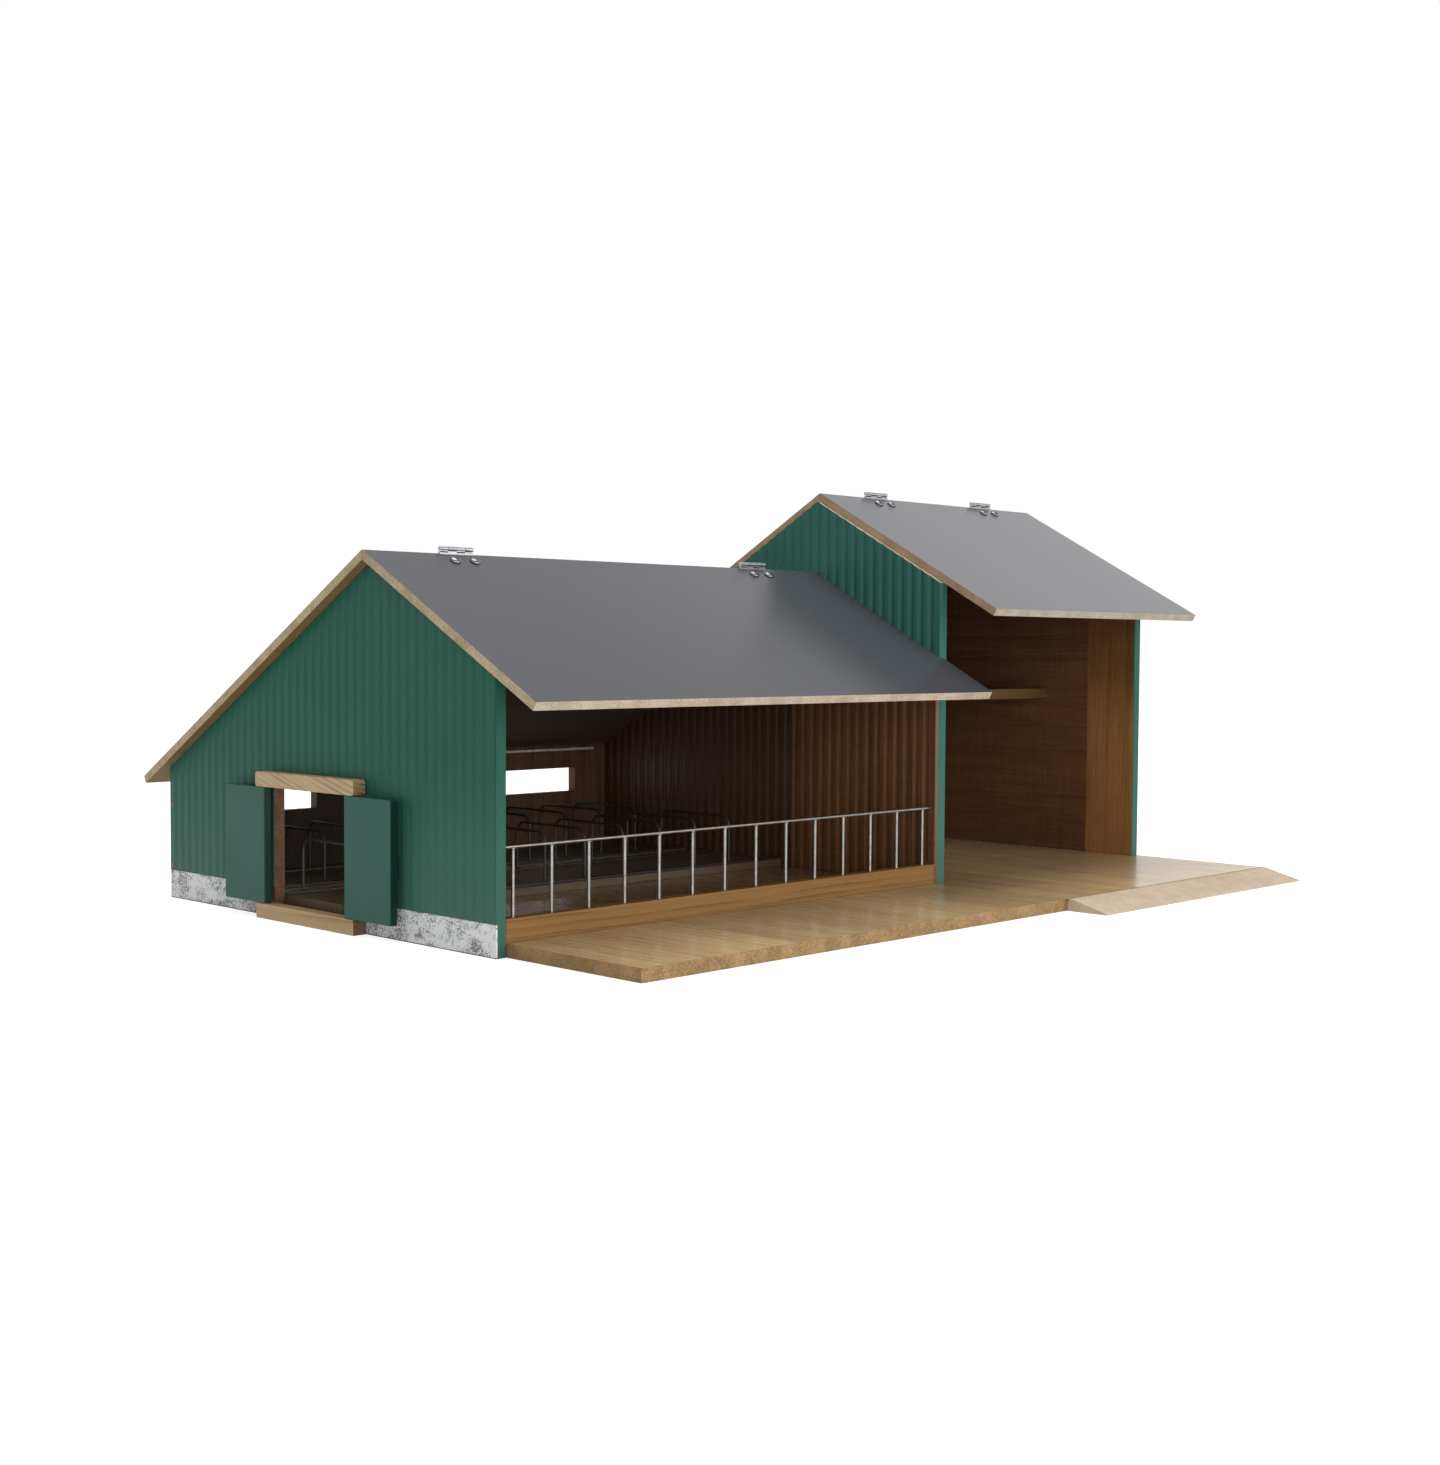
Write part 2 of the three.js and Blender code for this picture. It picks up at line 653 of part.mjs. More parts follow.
// A roof of two panels that meet at the ridge, with its hinges
function addRoof(name, ridgeHeight, frontOverhang, [start, end], hingeInset) {
  const ridge = frameAt(barn, 0, ridgeFromFront, ridgeHeight);
  const hinges = [start + hingeInset, end - hingeInset];
  const reaches = { front: ridgeFromFront + frontOverhang };
  reaches.rear = barnDepth + rearOverhang - ridgeFromFront;
  for (const [position, slope] of Object.entries(slopes)) {
    const leafName = `${name}_${position}`;
    const frontEnd = name === 'low' && position === 'front' ? partitionFace + eaveOverWall : end;
    let panel = roofPanel(slope, reaches[position], [start, frontEnd], hinges);
    if (frontEnd > end) {
      const besideWall = block(
        [end, -ridgeFromFront - wallFrontClearance, -ridgeHeight],
        [frontEnd + cutOverrun, cutOverrun, cutOverrun],
      );
      panel = cut(panel, [besideWall]);
    }
    add(ridge, `${leafName}_roof`, panel, 'roof');
    const slopeFrame = frameAt(ridge, 0, 0, 0, slopeTurn(slope));
    hinges.forEach((x, index) => {
      const hand = index === 0 ? 'left' : 'right';
      const pinFrame = frameAt(ridge, x, 0, hingeRise);
      const firstKnuckle = position === 'front' ? 0 : 1;
      add(pinFrame, `${leafName}_hinge_leaf_${hand}`, hingeLeaf(slope, firstKnuckle), 'zinc');
      screwPlaces(x, slope.side).forEach(([screwX, along], order) => {
        const screw = add(slopeFrame, `${leafName}_screw_${hand}_${order + 1}`, screwAndNut(), 'zinc');
        screw.position.set(screwX, along, 0);
      });
      if (position === 'rear') {
        const half = hingeLength / 2;
        const pin = new THREE.CylinderGeometry(hingePinRadius, hingePinRadius, 2 * half, pinSides);
        add(pinFrame, `${name}_hinge_pin_${hand}`, pin.rotateZ(Math.PI / 2), 'zinc');
      }
    });
  }
}

addFloors();
addLeftGable();
addLowBackWall();
addOtherWalls();
addDoorSurround();
addDoor('right', doorway[0] + pivotFromJamb, -1);
addDoor('left', doorway[1] - pivotFromJamb, 1);
addFeedFence();
const rearRow = backInner - rearRowFromBack - stallFrameLength;
const middleRow = rearRow - stallRowGap - stallFrameLength;
const middleBaseBack = middleRow + stallFrameLength + stallBaseMargin;
addStallRow('middle', middleRow, middleRow - stallBaseMargin, middleBaseBack);
addStallRow('rear', rearRow, rearRow - stallBaseMargin, backInner - glueGap);
addRoof(
  'low',
  lowRidgeHeight,
  lowFrontOverhang,
  [-lowEndOverhang, partitionFace - 2 * glueGap],
  lowHingeInset,
);
addRoof(
  'tall',
  shedRidgeHeight,
  shedFrontOverhang,
  [partitionFace + eaveOverWall + roofSideGap, shedEnd + shedEndOverhang],
  shedHingeInset,
);

export default barn;
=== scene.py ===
from math import cos, pi, radians, sin, tan

import bmesh
import bpy
from mathutils import Matrix, Vector


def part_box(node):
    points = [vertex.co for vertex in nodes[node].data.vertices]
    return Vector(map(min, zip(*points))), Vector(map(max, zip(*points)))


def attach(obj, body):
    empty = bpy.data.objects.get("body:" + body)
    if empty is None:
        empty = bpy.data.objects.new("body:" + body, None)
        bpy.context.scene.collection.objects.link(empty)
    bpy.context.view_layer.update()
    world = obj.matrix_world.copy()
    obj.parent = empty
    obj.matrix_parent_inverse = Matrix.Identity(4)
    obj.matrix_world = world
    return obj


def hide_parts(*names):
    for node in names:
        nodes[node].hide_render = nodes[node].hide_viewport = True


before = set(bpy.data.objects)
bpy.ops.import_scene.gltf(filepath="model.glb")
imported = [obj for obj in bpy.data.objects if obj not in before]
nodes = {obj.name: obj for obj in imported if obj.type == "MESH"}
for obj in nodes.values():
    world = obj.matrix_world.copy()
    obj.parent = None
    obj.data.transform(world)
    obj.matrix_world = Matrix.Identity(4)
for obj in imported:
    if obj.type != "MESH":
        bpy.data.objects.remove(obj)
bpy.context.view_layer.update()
scene = bpy.context.scene
print("frame loaded with", len(nodes), "nodes")


# every colour is three screen values from 0 to 255, here made linear
def linear(colour):
    shares = (value / 255 for value in colour)
    return (*(share / 12.92 if share <= 0.04045 else ((share + 0.055) / 1.055) ** 2.4
              for share in shares), 1.0)


# shader tree helpers: they draw in the tree of the group or material that was begun last
drawing = {}


def feed(node, values):
    for name, value in values.items():
        socket = node.inputs[name]
        if isinstance(value, bpy.types.NodeSocket):
            node.id_data.links.new(value, socket)
        else:
            isColour = socket.type == "RGBA" and len(value) == 3
            socket.default_value = linear(value) if isColour else value


def put(kind, values=None, **settings):
    node = drawing["tree"].nodes.new("ShaderNode" + kind)
    for name, value in settings.items():
        setattr(node, name, value)
    feed(node, values or {})
    return node


def maths(operation, *values):
    return put("Math", dict(enumerate(values)), operation=operation).outputs[0]


def vectorMaths(operation, *values):
    return put("VectorMath", dict(enumerate(values)), operation=operation).outputs[0]


def scaled(vector, gain):
    return put("VectorMath", {0: vector, "Scale": gain}, operation="SCALE").outputs[0]


def mixColour(share, first, second):
    return put("Mix", {0: share, 6: first, 7: second}, data_type="RGBA").outputs[2]


def mixValue(share, first, second):
    return put("Mix", {0: share, 2: first, 3: second}).outputs[0]


def remap(value, low, high, newLow=0.0, newHigh=1.0):
    values = {0: value, 1: low, 2: high, 3: newLow, 4: newHigh}
    return put("MapRange", values, interpolation_type="SMOOTHSTEP").outputs[0]


def noise(vector, scales, detail):
    stretched = vectorMaths("MULTIPLY", vector, scales)
    return put("TexNoise", {"Vector": stretched, "Scale": 1.0, "Detail": detail}).outputs[0]


# the same noise, swinging about 0
def swing(vector, scales, detail):
    return maths("SUBTRACT", noise(vector, scales, detail), 0.5)


def objectPlace():
    return put("TexCoord").outputs["Object"]


def axesOf(vector):
    return put("SeparateXYZ", {0: vector}).outputs


# the sockets' names, for each kind of socket
def newGroup(name, inputs, outputs):
    tree = drawing["tree"] = bpy.data.node_groups.new(name, "ShaderNodeTree")
    for way, sockets in (("INPUT", inputs), ("OUTPUT", outputs)):
        for kind, labels in sockets.items():
            for label in labels.split():
                tree.interface.new_socket(
                    name=label, in_out=way, socket_type="NodeSocket" + kind)
    return tree.nodes.new("NodeGroupInput").outputs, tree.nodes.new("NodeGroupOutput")


def endGroup(result, **values):
    feed(result, values)
    return result.id_data


def useGroup(group, **values):
    return put("Group", values, node_tree=group).outputs


# wood with year rings, long fibres and short dark pores; the grain runs along the vector's X
def buildWoodGrain():
    values, result = newGroup(
        "woodGrain",
        {"Vector": "Vector", "Float": "Width Rings Fibres Pores Waviness", "Color": "Light Dark"},
        {"Color": "Color", "Float": "Height"})
    vector = values["Vector"]
    axes = axesOf(vector)
    drift = maths("MULTIPLY", swing(vector, (3.5, 18, 18), 3), values["Waviness"])
    lean = maths("MULTIPLY_ADD", axes[2], 0.45, axes[1])
    place = maths("DIVIDE", maths("ADD", lean, drift), values["Width"])
    ring = maths("POWER", maths("FRACT", place), 2.5)
    ringFade = remap(noise(vector, (6, 60, 60), 2), 0.3, 0.7)
    ring = maths("MULTIPLY", maths("MULTIPLY", ring, ringFade), values["Rings"])
    fibre = maths("MULTIPLY", swing(vector, (22, 1100, 1100), 4), values["Fibres"])
    pore = remap(noise(vector, (110, 2600, 2600), 2), 0.6, 0.7)
    pore = maths("MULTIPLY", pore, values["Pores"])
    dark = maths("ADD", maths("ADD", maths("ADD", ring, fibre), pore), 0.25)
    share = put("Clamp", {0: dark}).outputs[0]
    return endGroup(result, Color=mixColour(share, values["Light"], values["Dark"]),
                    Height=maths("SUBTRACT", 1.0, share))


# printed planks: one tone per plank, and a thin dark line where two meet
def buildPlankTone():
    values, result = newGroup("plankTone", {"Vector": "Vector", "Float": "Width Length"},
                              {"Float": "Tone Seam"})
    axes = axesOf(values["Vector"])
    across = maths("DIVIDE", axes[1], values["Width"])
    row = maths("FLOOR", across)
    along = maths("DIVIDE", axes[0], values["Length"])
    column = maths("FLOOR", maths("MULTIPLY_ADD", row, 0.37, along))
    cell = put("CombineXYZ", {0: row, 1: column, 2: 3.3}).outputs[0]
    tone = put("TexWhiteNoise", {"Vector": cell}, noise_dimensions="3D").outputs[0]
    offset = maths("ABSOLUTE", maths("SUBTRACT", maths("FRACT", across), 0.5))
    return endGroup(result, Tone=tone, Seam=remap(offset, 0.492, 0.5))


# where a face looks one way, from the surface's own normal
def buildFaceAim():
    values, result = newGroup("faceAim", {"Vector": "Direction", "Float": "Edge"},
                              {"Float": "Mask"})
    normal = put("TexCoord").outputs["Normal"]
    aim = vectorMaths("DOT_PRODUCT", normal, values["Direction"]).node.outputs["Value"]
    low = maths("SUBTRACT", values["Edge"], 0.05)
    high = maths("ADD", values["Edge"], 0.05)
    return endGroup(result, Mask=remap(aim, low, high))


# everything inside a box given by its two corners
def buildBoxZone():
    values, result = newGroup("boxZone", {"Vector": "Low High"}, {"Float": "Mask"})
    where = objectPlace()
    above = vectorMaths("SUBTRACT", where, values["Low"])
    below = vectorMaths("SUBTRACT", values["High"], where)
    axes = axesOf(vectorMaths("MINIMUM", above, below))
    least = maths("MINIMUM", maths("MINIMUM", axes[0], axes[1]), axes[2])
    return endGroup(result, Mask=maths("GREATER_THAN", least, 0.0))


# sprayed lacquer: fine orange peel, faint cloudiness and rubbed patches
def buildLacquerSkin():
    values, result = newGroup(
        "lacquerSkin",
        {"Vector": "Vector", "Color": "Color", "Float": "Roughness Cloudiness Rubbing"},
        {"Color": "Color", "Float": "Roughness Height"})
    vector = values["Vector"]
    cloud = swing(vector, (9, 9, 9), 4)
    speck = swing(vector, (2400, 2400, 2400), 2)
    both = maths("MULTIPLY_ADD", speck, 0.5, cloud)
    gain = maths("MULTIPLY_ADD", both, values["Cloudiness"], 1.0)
    rubbed = remap(noise(vector, (30, 30, 30), 5), 0.45, 0.75)
    rubbed = maths("MULTIPLY", rubbed, values["Rubbing"])
    return endGroup(result, Color=scaled(values["Color"], gain),
                    Roughness=maths("ADD", values["Roughness"], rubbed),
                    Height=noise(vector, (700, 700, 700), 1))


# figure in a veneer: streaks that run across the grain, in faint bands
def buildCrossFigure():
    values, result = newGroup("crossFigure", {"Vector": "Vector", "Float": "Strength"},
                              {"Float": "Gain"})
    streak = swing(values["Vector"], (420, 26, 26), 4)
    band = swing(values["Vector"], (7, 95, 95), 3)
    both = maths("MULTIPLY_ADD", band, 0.9, streak)
    return endGroup(result, Gain=maths("MULTIPLY_ADD", both, values["Strength"], 1.0))


# the pressed fibres of an unpainted board edge
def buildRawEdge():
    values, result = newGroup("rawEdge", {"Vector": "Vector", "Color": "Light Dark"},
                              {"Color": "Color", "Float": "Height"})
    fibre = noise(values["Vector"], (900, 900, 900), 5)
    blotch = noise(values["Vector"], (70, 70, 70), 3)
    share = remap(maths("MULTIPLY_ADD", blotch, 0.6, fibre), 0.55, 1.0)
    return endGroup(result, Color=mixColour(share, values["Light"], values["Dark"]), Height=fibre)


# fine scratches left by drawing or brushing, long along the vector's X
def buildDrawnMetal():
    values, result = newGroup(
        "drawnMetal", {"Vector": "Vector", "Color": "Color", "Float": "Roughness"},
        {"Color": "Color", "Float": "Roughness Height"})
    streak = noise(values["Vector"], (60, 4200, 4200), 3)
    bloom = noise(values["Vector"], (260, 260, 260), 4)
    gain = remap(bloom, 0.3, 0.75, 0.78, 1.05)
    spread = remap(streak, 0.3, 0.7, -0.06, 0.1)
    return endGroup(result, Color=scaled(values["Color"], gain),
                    Roughness=maths("ADD", values["Roughness"], spread), Height=streak)


woodGrain = buildWoodGrain()
plankTone = buildPlankTone()
faceAim = buildFaceAim()
boxZone = buildBoxZone()
lacquerSkin = buildLacquerSkin()
crossFigure = buildCrossFigure()
rawEdge = buildRawEdge()
drawnMetal = buildDrawnMetal()
print("node groups built")


def newMaterial(name):
    material = bpy.data.materials.new(name)
    material.use_nodes = True
    drawing["tree"] = material.node_tree
    return material


# the material's shader, with a relief whose depth is in metres
def finish(material, colour, roughness, height, depth, gloss=0.5, metallic=0.0, normal=None):
    relief = {"Height": height, "Distance": depth}
    if normal:
        relief["Normal"] = normal
    feed(material.node_tree.nodes["Principled BSDF"], {
        "Base Color": colour,
        "Roughness": roughness,
        "Specular IOR Level": gloss,
        "Metallic": metallic,
        "Normal": put("Bump", relief).outputs[0],
    })
    return material


# which object axes stand for along, across and through the grain
grainOrders = {
    "alongX": (0, 1, 2),
    "alongXUp": (0, 2, 1),
    "alongY": (1, 0, 2),
    "alongYUp": (1, 2, 0),
    "upAcrossY": (2, 1, 0),
    "upAcrossX": (2, 0, 1),
}


def grainVector(order, tilt=0.0, shift=0.0):
    axes = axesOf(objectPlace())
    picks = {index: axes[axis] for index, axis in enumerate(grainOrders[order])}
    turned = put("CombineXYZ", picks).outputs[0]
    if tilt or shift:
        values = {"Vector": turned, "Rotation": (0, 0, tilt), "Location": (shift, shift, 0)}
        turned = put("Mapping", values).outputs[0]
    return turned


def opposite(direction):
    return tuple(-part for part in direction)


def aimed(direction, edge=0.7):
    return useGroup(faceAim, Direction=direction, Edge=edge)["Mask"]


# both faces that a direction comes out of
def endFaces(direction):
    return maths("MAXIMUM", aimed(direction), aimed(opposite(direction)))


def inZone(zone):
    return useGroup(boxZone, Low=zone["low"], High=zone["high"])["Mask"]


# the surface's normal, leaning back towards one direction where the mask is set
def calmNormal(direction, mask, amount):
    pull = scaled(tuple(amount * part for part in direction), mask)
    normal = put("NewGeometry").outputs["Normal"]
    return vectorMaths("NORMALIZE", vectorMaths("ADD", normal, pull))


def lacquer(colour, roughness, cloudiness, rubbing=0.06):
    return useGroup(lacquerSkin, Vector=objectPlace(), Color=colour, Roughness=roughness,
                    Cloudiness=cloudiness, Rubbing=rubbing)


# kinds of wood: ring width in metres, strength of rings, fibres and pores, and waviness
woodKinds = {
    "veneer": (0.021, 0.35, 1.1, 0.45, 0.02),
    "planks": (0.009, 0.5, 1.2, 0.5, 0.02),
    "narrowPine": (0.0042, 0.75, 0.7, 0.2, 0.014),
    "pine": (0.006, 0.75, 0.7, 0.2, 0.014),
    "widePine": (0.009, 0.75, 0.7, 0.2, 0.014),
    "pineEnd": (0.0034, 1.3, 0.2, 0.0, 0.03),
}


# tones are always a light and a dark colour
def wood(vector, kind, tones):
    width, rings, fibres, pores, waviness = woodKinds[kind]
    return useGroup(woodGrain, Vector=vector, Width=width, Rings=rings, Fibres=fibres,
                    Pores=pores, Waviness=waviness, Light=tones[0], Dark=tones[1])


def rawBoard(tones):
    return useGroup(rawEdge, Vector=objectPlace(), Light=tones[0], Dark=tones[1])


# walnut-brown foil
veneerTones = {
    "shedWall": ((162, 116, 72), (88, 58, 33)),
    "barnWall": ((122, 94, 72), (64, 46, 35)),
    # painted shade: a darker copy of the barn's veneer, inside by the doorway
    "barnCornerShade": ((58, 43, 32), (28, 18, 12)),
    "lining": ((92, 63, 42), (48, 31, 20)),
    "liningFront": ((132, 88, 50), (72, 45, 23)),
    # painted shade: a darker copy of the shed's veneer, deep in the shed
    "shedRearShade": ((124, 88, 60), (70, 46, 31)),
    "underRoof": ((100, 77, 60), (52, 38, 29)),
    # painted light: the under-roof veneer made lighter where it reaches beyond the walls
    "litOverhang": ((138, 110, 63), (96, 74, 37)),
    "shelf": ((100, 71, 34), (54, 37, 15)),
}


def brownVeneer(tone, order, shift=0.0, figure=0.0):
    vector = grainVector(order, shift=shift)
    foil = wood(vector, "veneer", veneerTones[tone])
    if not figure:
        return foil["Color"], foil["Height"]
    gain = useGroup(crossFigure, Vector=vector, Strength=figure)["Gain"]
    return scaled(foil["Color"], gain), foil["Height"]


# what the boards are coloured and how they shine; painted bounce light lightens the green towards
# the wall's foot, fading out up to its top, in metres
boardLooks = {
    "green": (39, 94, 79),
    # the partition wall's green: the same paint made lighter, as painted light
    "litPartitionGreen": (50, 106, 93),
    "roughness": 0.42,
    "gloss": 0.14,
    "cloudiness": 0.22,
    "bounceLight": (140, 176, 162),
    "bounceLightShare": 0.15,
    "bounceLightTop": 0.13,
    "rawTones": ((216, 204, 184), (178, 160, 136)),
    "rawRoughness": 0.8,
    "jambTones": ((132, 96, 72), (98, 68, 46)),
}


# a lacquered wall: green outside and on its standing edges, veneered inside, bare along the top
def wallMaterial(name, inward, order, tone, cutZone=None, seam=None, calm=0.0, paint="green"):
    material = newMaterial(name)
    up = axesOf(objectPlace())[2]
    green = lacquer(boardLooks[paint], boardLooks["roughness"], boardLooks["cloudiness"])
    veneer, veneerHeight = brownVeneer(tone, order)
    # the seam's second leaf is painted shade, and its fade painted light and shade, on the back
    # wall and the right gable
    if seam:
        shadedLeaf, _ = brownVeneer(seam["tone"], seam["order"], 0.3, seam["figure"])
        if "fade" in seam:
            veneer = scaled(veneer, remap(up, *seam["fade"]))
        veneer = mixColour(inZone(seam), shadedLeaf, veneer)
    inside = aimed(inward, 0.8)
    outside = aimed(opposite(inward), 0.55)
    top = aimed((0, 0, 1), 0.5)
    # painted bounce light: the green paint made lighter towards the wall's foot
    bounceLight = remap(up, 0.0, boardLooks["bounceLightTop"], boardLooks["bounceLightShare"], 0.0)
    colour = mixColour(bounceLight, green["Color"], boardLooks["bounceLight"])
    colour = mixColour(inside, colour, veneer)
    colour = mixColour(top, colour, rawBoard(boardLooks["rawTones"])["Color"])
    if cutZone:
        flat = maths("MAXIMUM", inside, outside)
        cut = maths("MULTIPLY", inZone(cutZone), maths("SUBTRACT", 1.0, flat))
        colour = mixColour(cut, colour, rawBoard(boardLooks["jambTones"])["Color"])
    rough = mixValue(top, green["Roughness"], boardLooks["rawRoughness"])
    height = mixValue(inside, green["Height"], veneerHeight)
    normal = calmNormal(opposite(inward), outside, calm) if calm else None
    return finish(material, colour, rough, height, 0.00006, boardLooks["gloss"], normal=normal)


doorLooks = {
    "green": (38, 92, 80),
    # painted shade on the doors' standing edges
    "edge": (17, 54, 46),
    "roughness": 0.38,
    "gloss": 0.2,
    "cloudiness": 0.14,
}


# plain lacquered board, as on the doors, darker on the standing edges as painted shade
def doorMaterial():
    material = newMaterial("greenDoorLacquer")
    green = lacquer(doorLooks["green"], doorLooks["roughness"], doorLooks["cloudiness"])
    colour = mixColour(endFaces((0, 1, 0)), green["Color"], doorLooks["edge"])
    return finish(material, colour, green["Roughness"], green["Height"], 0.00005,
                  doorLooks["gloss"])


# the end tones are for the panels' left ends; the two roofs are one laminate, so the tall one's
# lighter grey is painted light and its darker edge and end tones are painted shade
roofLooks = {
    "roughness": 0.26,
    "rawRoughness": 0.7,
    "speckle": 0.06,
    "rubbing": 0.0,
    "low": {
        "grey": (71, 72, 78),
        "gloss": 0.58,
        "edgeTones": ((206, 192, 172), (168, 151, 128)),
        "endTones": ((206, 188, 156), (164, 144, 112)),
    },
    "tall": {
        "grey": (78, 79, 85),
        "gloss": 1.0,
        "edgeTones": ((184, 173, 157), (146, 133, 114)),
        "endTones": ((184, 156, 122), (148, 120, 90)),
    },
}


# grey laminate above, veneer below, lighter beyond the walls as painted light, bare board round the
# edges
def roofMaterial(name, topNormal, looks):
    material = newMaterial(name)
    laminate = lacquer(looks["grey"], roofLooks["roughness"], roofLooks["speckle"],
                       roofLooks["rubbing"])
    indoors, _ = brownVeneer("underRoof", "alongX", 0.5)
    # painted light: a lighter copy of the veneer under the roof beyond the walls
    litOverhang, _ = brownVeneer("litOverhang", "alongX", 0.5)
    veneer = mixColour(inZone(indoorZone), litOverhang, indoors)
    raw, end = rawBoard(looks["edgeTones"]), rawBoard(looks["endTones"])
    top = aimed(topNormal, 0.85)
    colour = mixColour(aimed((-1, 0, 0), 0.6), raw["Color"], end["Color"])
    colour = mixColour(aimed(opposite(topNormal), 0.85), colour, veneer)
    colour = mixColour(top, colour, laminate["Color"])
    rough = mixValue(top, roofLooks["rawRoughness"], laminate["Roughness"])
    height = mixValue(top, raw["Height"], laminate["Height"])
    return finish(material, colour, rough, height, 0.00001, looks["gloss"])


floorLooks = {
    "tones": ((226, 196, 148), (144, 109, 66)),
    "edgeTones": ((176, 142, 97), (130, 98, 56)),
    "plankWidth": 0.074,
    "plankLength": 0.52,
    "toneSpread": 0.15,
    "streaks": 0.7,
    "seamShade": 0.3,
    "gloss": 0.6,
    "rawRoughness": 0.75,
    "insideShadeGain": 0.5,
    "insideShadeReach": 0.08,
}


# printed planks above, darker deep in the barn as painted shade, bare board round the edges
def floorMaterial():
    material = newMaterial("floorPlanks")
    vector = grainVector("alongY")
    planks = wood(vector, "planks", floorLooks["tones"])
    plank = useGroup(plankTone, Vector=vector, Width=floorLooks["plankWidth"],
                     Length=floorLooks["plankLength"])
    spread = floorLooks["toneSpread"]
    gain = remap(plank["Tone"], 0.0, 1.0, 1.0 - spread, 1.0 + spread)
    streak = swing(vector, (5, 170, 170), 3)
    gain = maths("MULTIPLY_ADD", streak, floorLooks["streaks"], gain)
    gain = maths("MULTIPLY_ADD", plank["Seam"], -floorLooks["seamShade"], gain)
    # painted shade: the planks darker deep inside the barn, behind the feed board
    deepShade = remap(axesOf(objectPlace())[0], gableHigh.x, gableHigh.x + floorLooks["insideShadeReach"],
                 1.0, floorLooks["insideShadeGain"])
    gain = maths("MULTIPLY", gain, mixValue(inZone(barnShadeZone), 1.0, deepShade))
    raw = rawBoard(floorLooks["edgeTones"])
    top = aimed((0, 0, 1))
    colour = mixColour(top, raw["Color"], scaled(planks["Color"], gain))
    rough = remap(planks["Height"], 0.0, 1.0, 0.34, 0.2)
    rough = mixValue(top, floorLooks["rawRoughness"], rough)
    height = mixValue(top, raw["Height"], planks["Height"])
    return finish(material, colour, rough, height, 0.00006, floorLooks["gloss"])


def veneerMaterial(name, tone, order, seam=None):
    material = newMaterial(name)
    veneer, height = brownVeneer(tone, order, 0.7)
    if seam:
        frontPart, _ = brownVeneer(seam["tone"], seam["order"], 0.2, seam["figure"])
        veneer = mixColour(inZone(seam), veneer, frontPart)
    return finish(material, veneer, remap(height, 0.0, 1.0, 0.55, 0.42), height, 0.00006)


# solid wood: which way its grain runs, its kind, and the tones of its sides and ends; the lintel's
# and threshold's dark end tones are end grain and painted shade together
pineLooks = {
    "lintelPine": {"order": "alongYUp", "tilt": -0.3, "kind": "narrowPine",
                   "tones": ((216, 190, 148), (150, 112, 76)),
                   "endTones": ((196, 160, 116), (70, 46, 28))},
    "thresholdWood": {"order": "alongYUp", "kind": "widePine",
                      "tones": ((214, 183, 138), (166, 133, 88)),
                      "endTones": ((132, 100, 74), (96, 68, 48))},
    "feedBoardWood": {"order": "alongXUp", "tones": ((162, 116, 54), (86, 54, 21))},
    "stallBaseWood": {"order": "alongX", "tones": ((108, 88, 62), (64, 48, 31))},
    "plugWood": {"order": "alongX", "tones": ((150, 104, 70), (96, 62, 40))},
}


def pineMaterial(name):
    looks = pineLooks[name]
    material = newMaterial(name)
    side = wood(grainVector(looks["order"], looks.get("tilt", 0.0)),
                looks.get("kind", "pine"), looks["tones"])
    colour, height = side["Color"], side["Height"]
    if "endTones" in looks:
        end = wood(grainVector(looks["order"]), "pineEnd", looks["endTones"])
        # end grain, darkened further as painted shade
        colour = mixColour(endFaces((0, 1, 0)), colour, end["Color"])
    return finish(material, colour, remap(height, 0.0, 1.0, 0.68, 0.52), height, 0.0001)


rampLooks = {
    "tones": ((216, 196, 172), (190, 168, 142)),
    "joint": (120, 94, 68),
    "jointWidth": 0.0006,
    "jointDepth": 0.001,
    "roughness": 0.7,
}


# bare board, dark in the joint where it meets the shed floor
def rampMaterial():
    material = newMaterial("bareRampBoard")
    raw = rawBoard(rampLooks["tones"])
    low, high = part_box("loading_ramp")
    joint = zoneBetween(
        (low.x, high.y - rampLooks["jointWidth"], high.z - rampLooks["jointDepth"]), high)
    colour = mixColour(inZone(joint), raw["Color"], rampLooks["joint"])
    return finish(material, colour, rampLooks["roughness"], raw["Height"], 0.00005)


concreteLooks = {
    "ground": (252, 252, 253),
    "cloud": (236, 237, 239),
    "grain": (86, 88, 92),
    "grainShare": 0.9,
    "foot": (96, 96, 98),
    "footHeight": 0.0007,
    "cut": (98, 68, 46),
    "roughness": 0.6,
}


# printed concrete: fine dark grain gathered in soft clouds on a pale ground, dark along its foot
def concreteMaterial():
    material = newMaterial("concretePrint")
    where = objectPlace()
    cloud = noise(where, (110, 80, 130), 4)
    grain = noise(where, (1000, 700, 850), 7)
    gathered = remap(maths("MULTIPLY_ADD", cloud, 0.8, grain), 0.85, 1.12)
    gathered = maths("MULTIPLY", gathered, concreteLooks["grainShare"])
    foot = maths("LESS_THAN", axesOf(where)[2], concreteLooks["footHeight"])
    colour = concreteLooks["ground"]
    for share, layer in ((remap(cloud, 0.35, 0.7), "cloud"), (gathered, "grain"),
                         (foot, "foot"), (inZone(plinthGap), "cut")):
        colour = mixColour(share, colour, concreteLooks[layer])
    return finish(material, colour, concreteLooks["roughness"], grain, 0.00003)


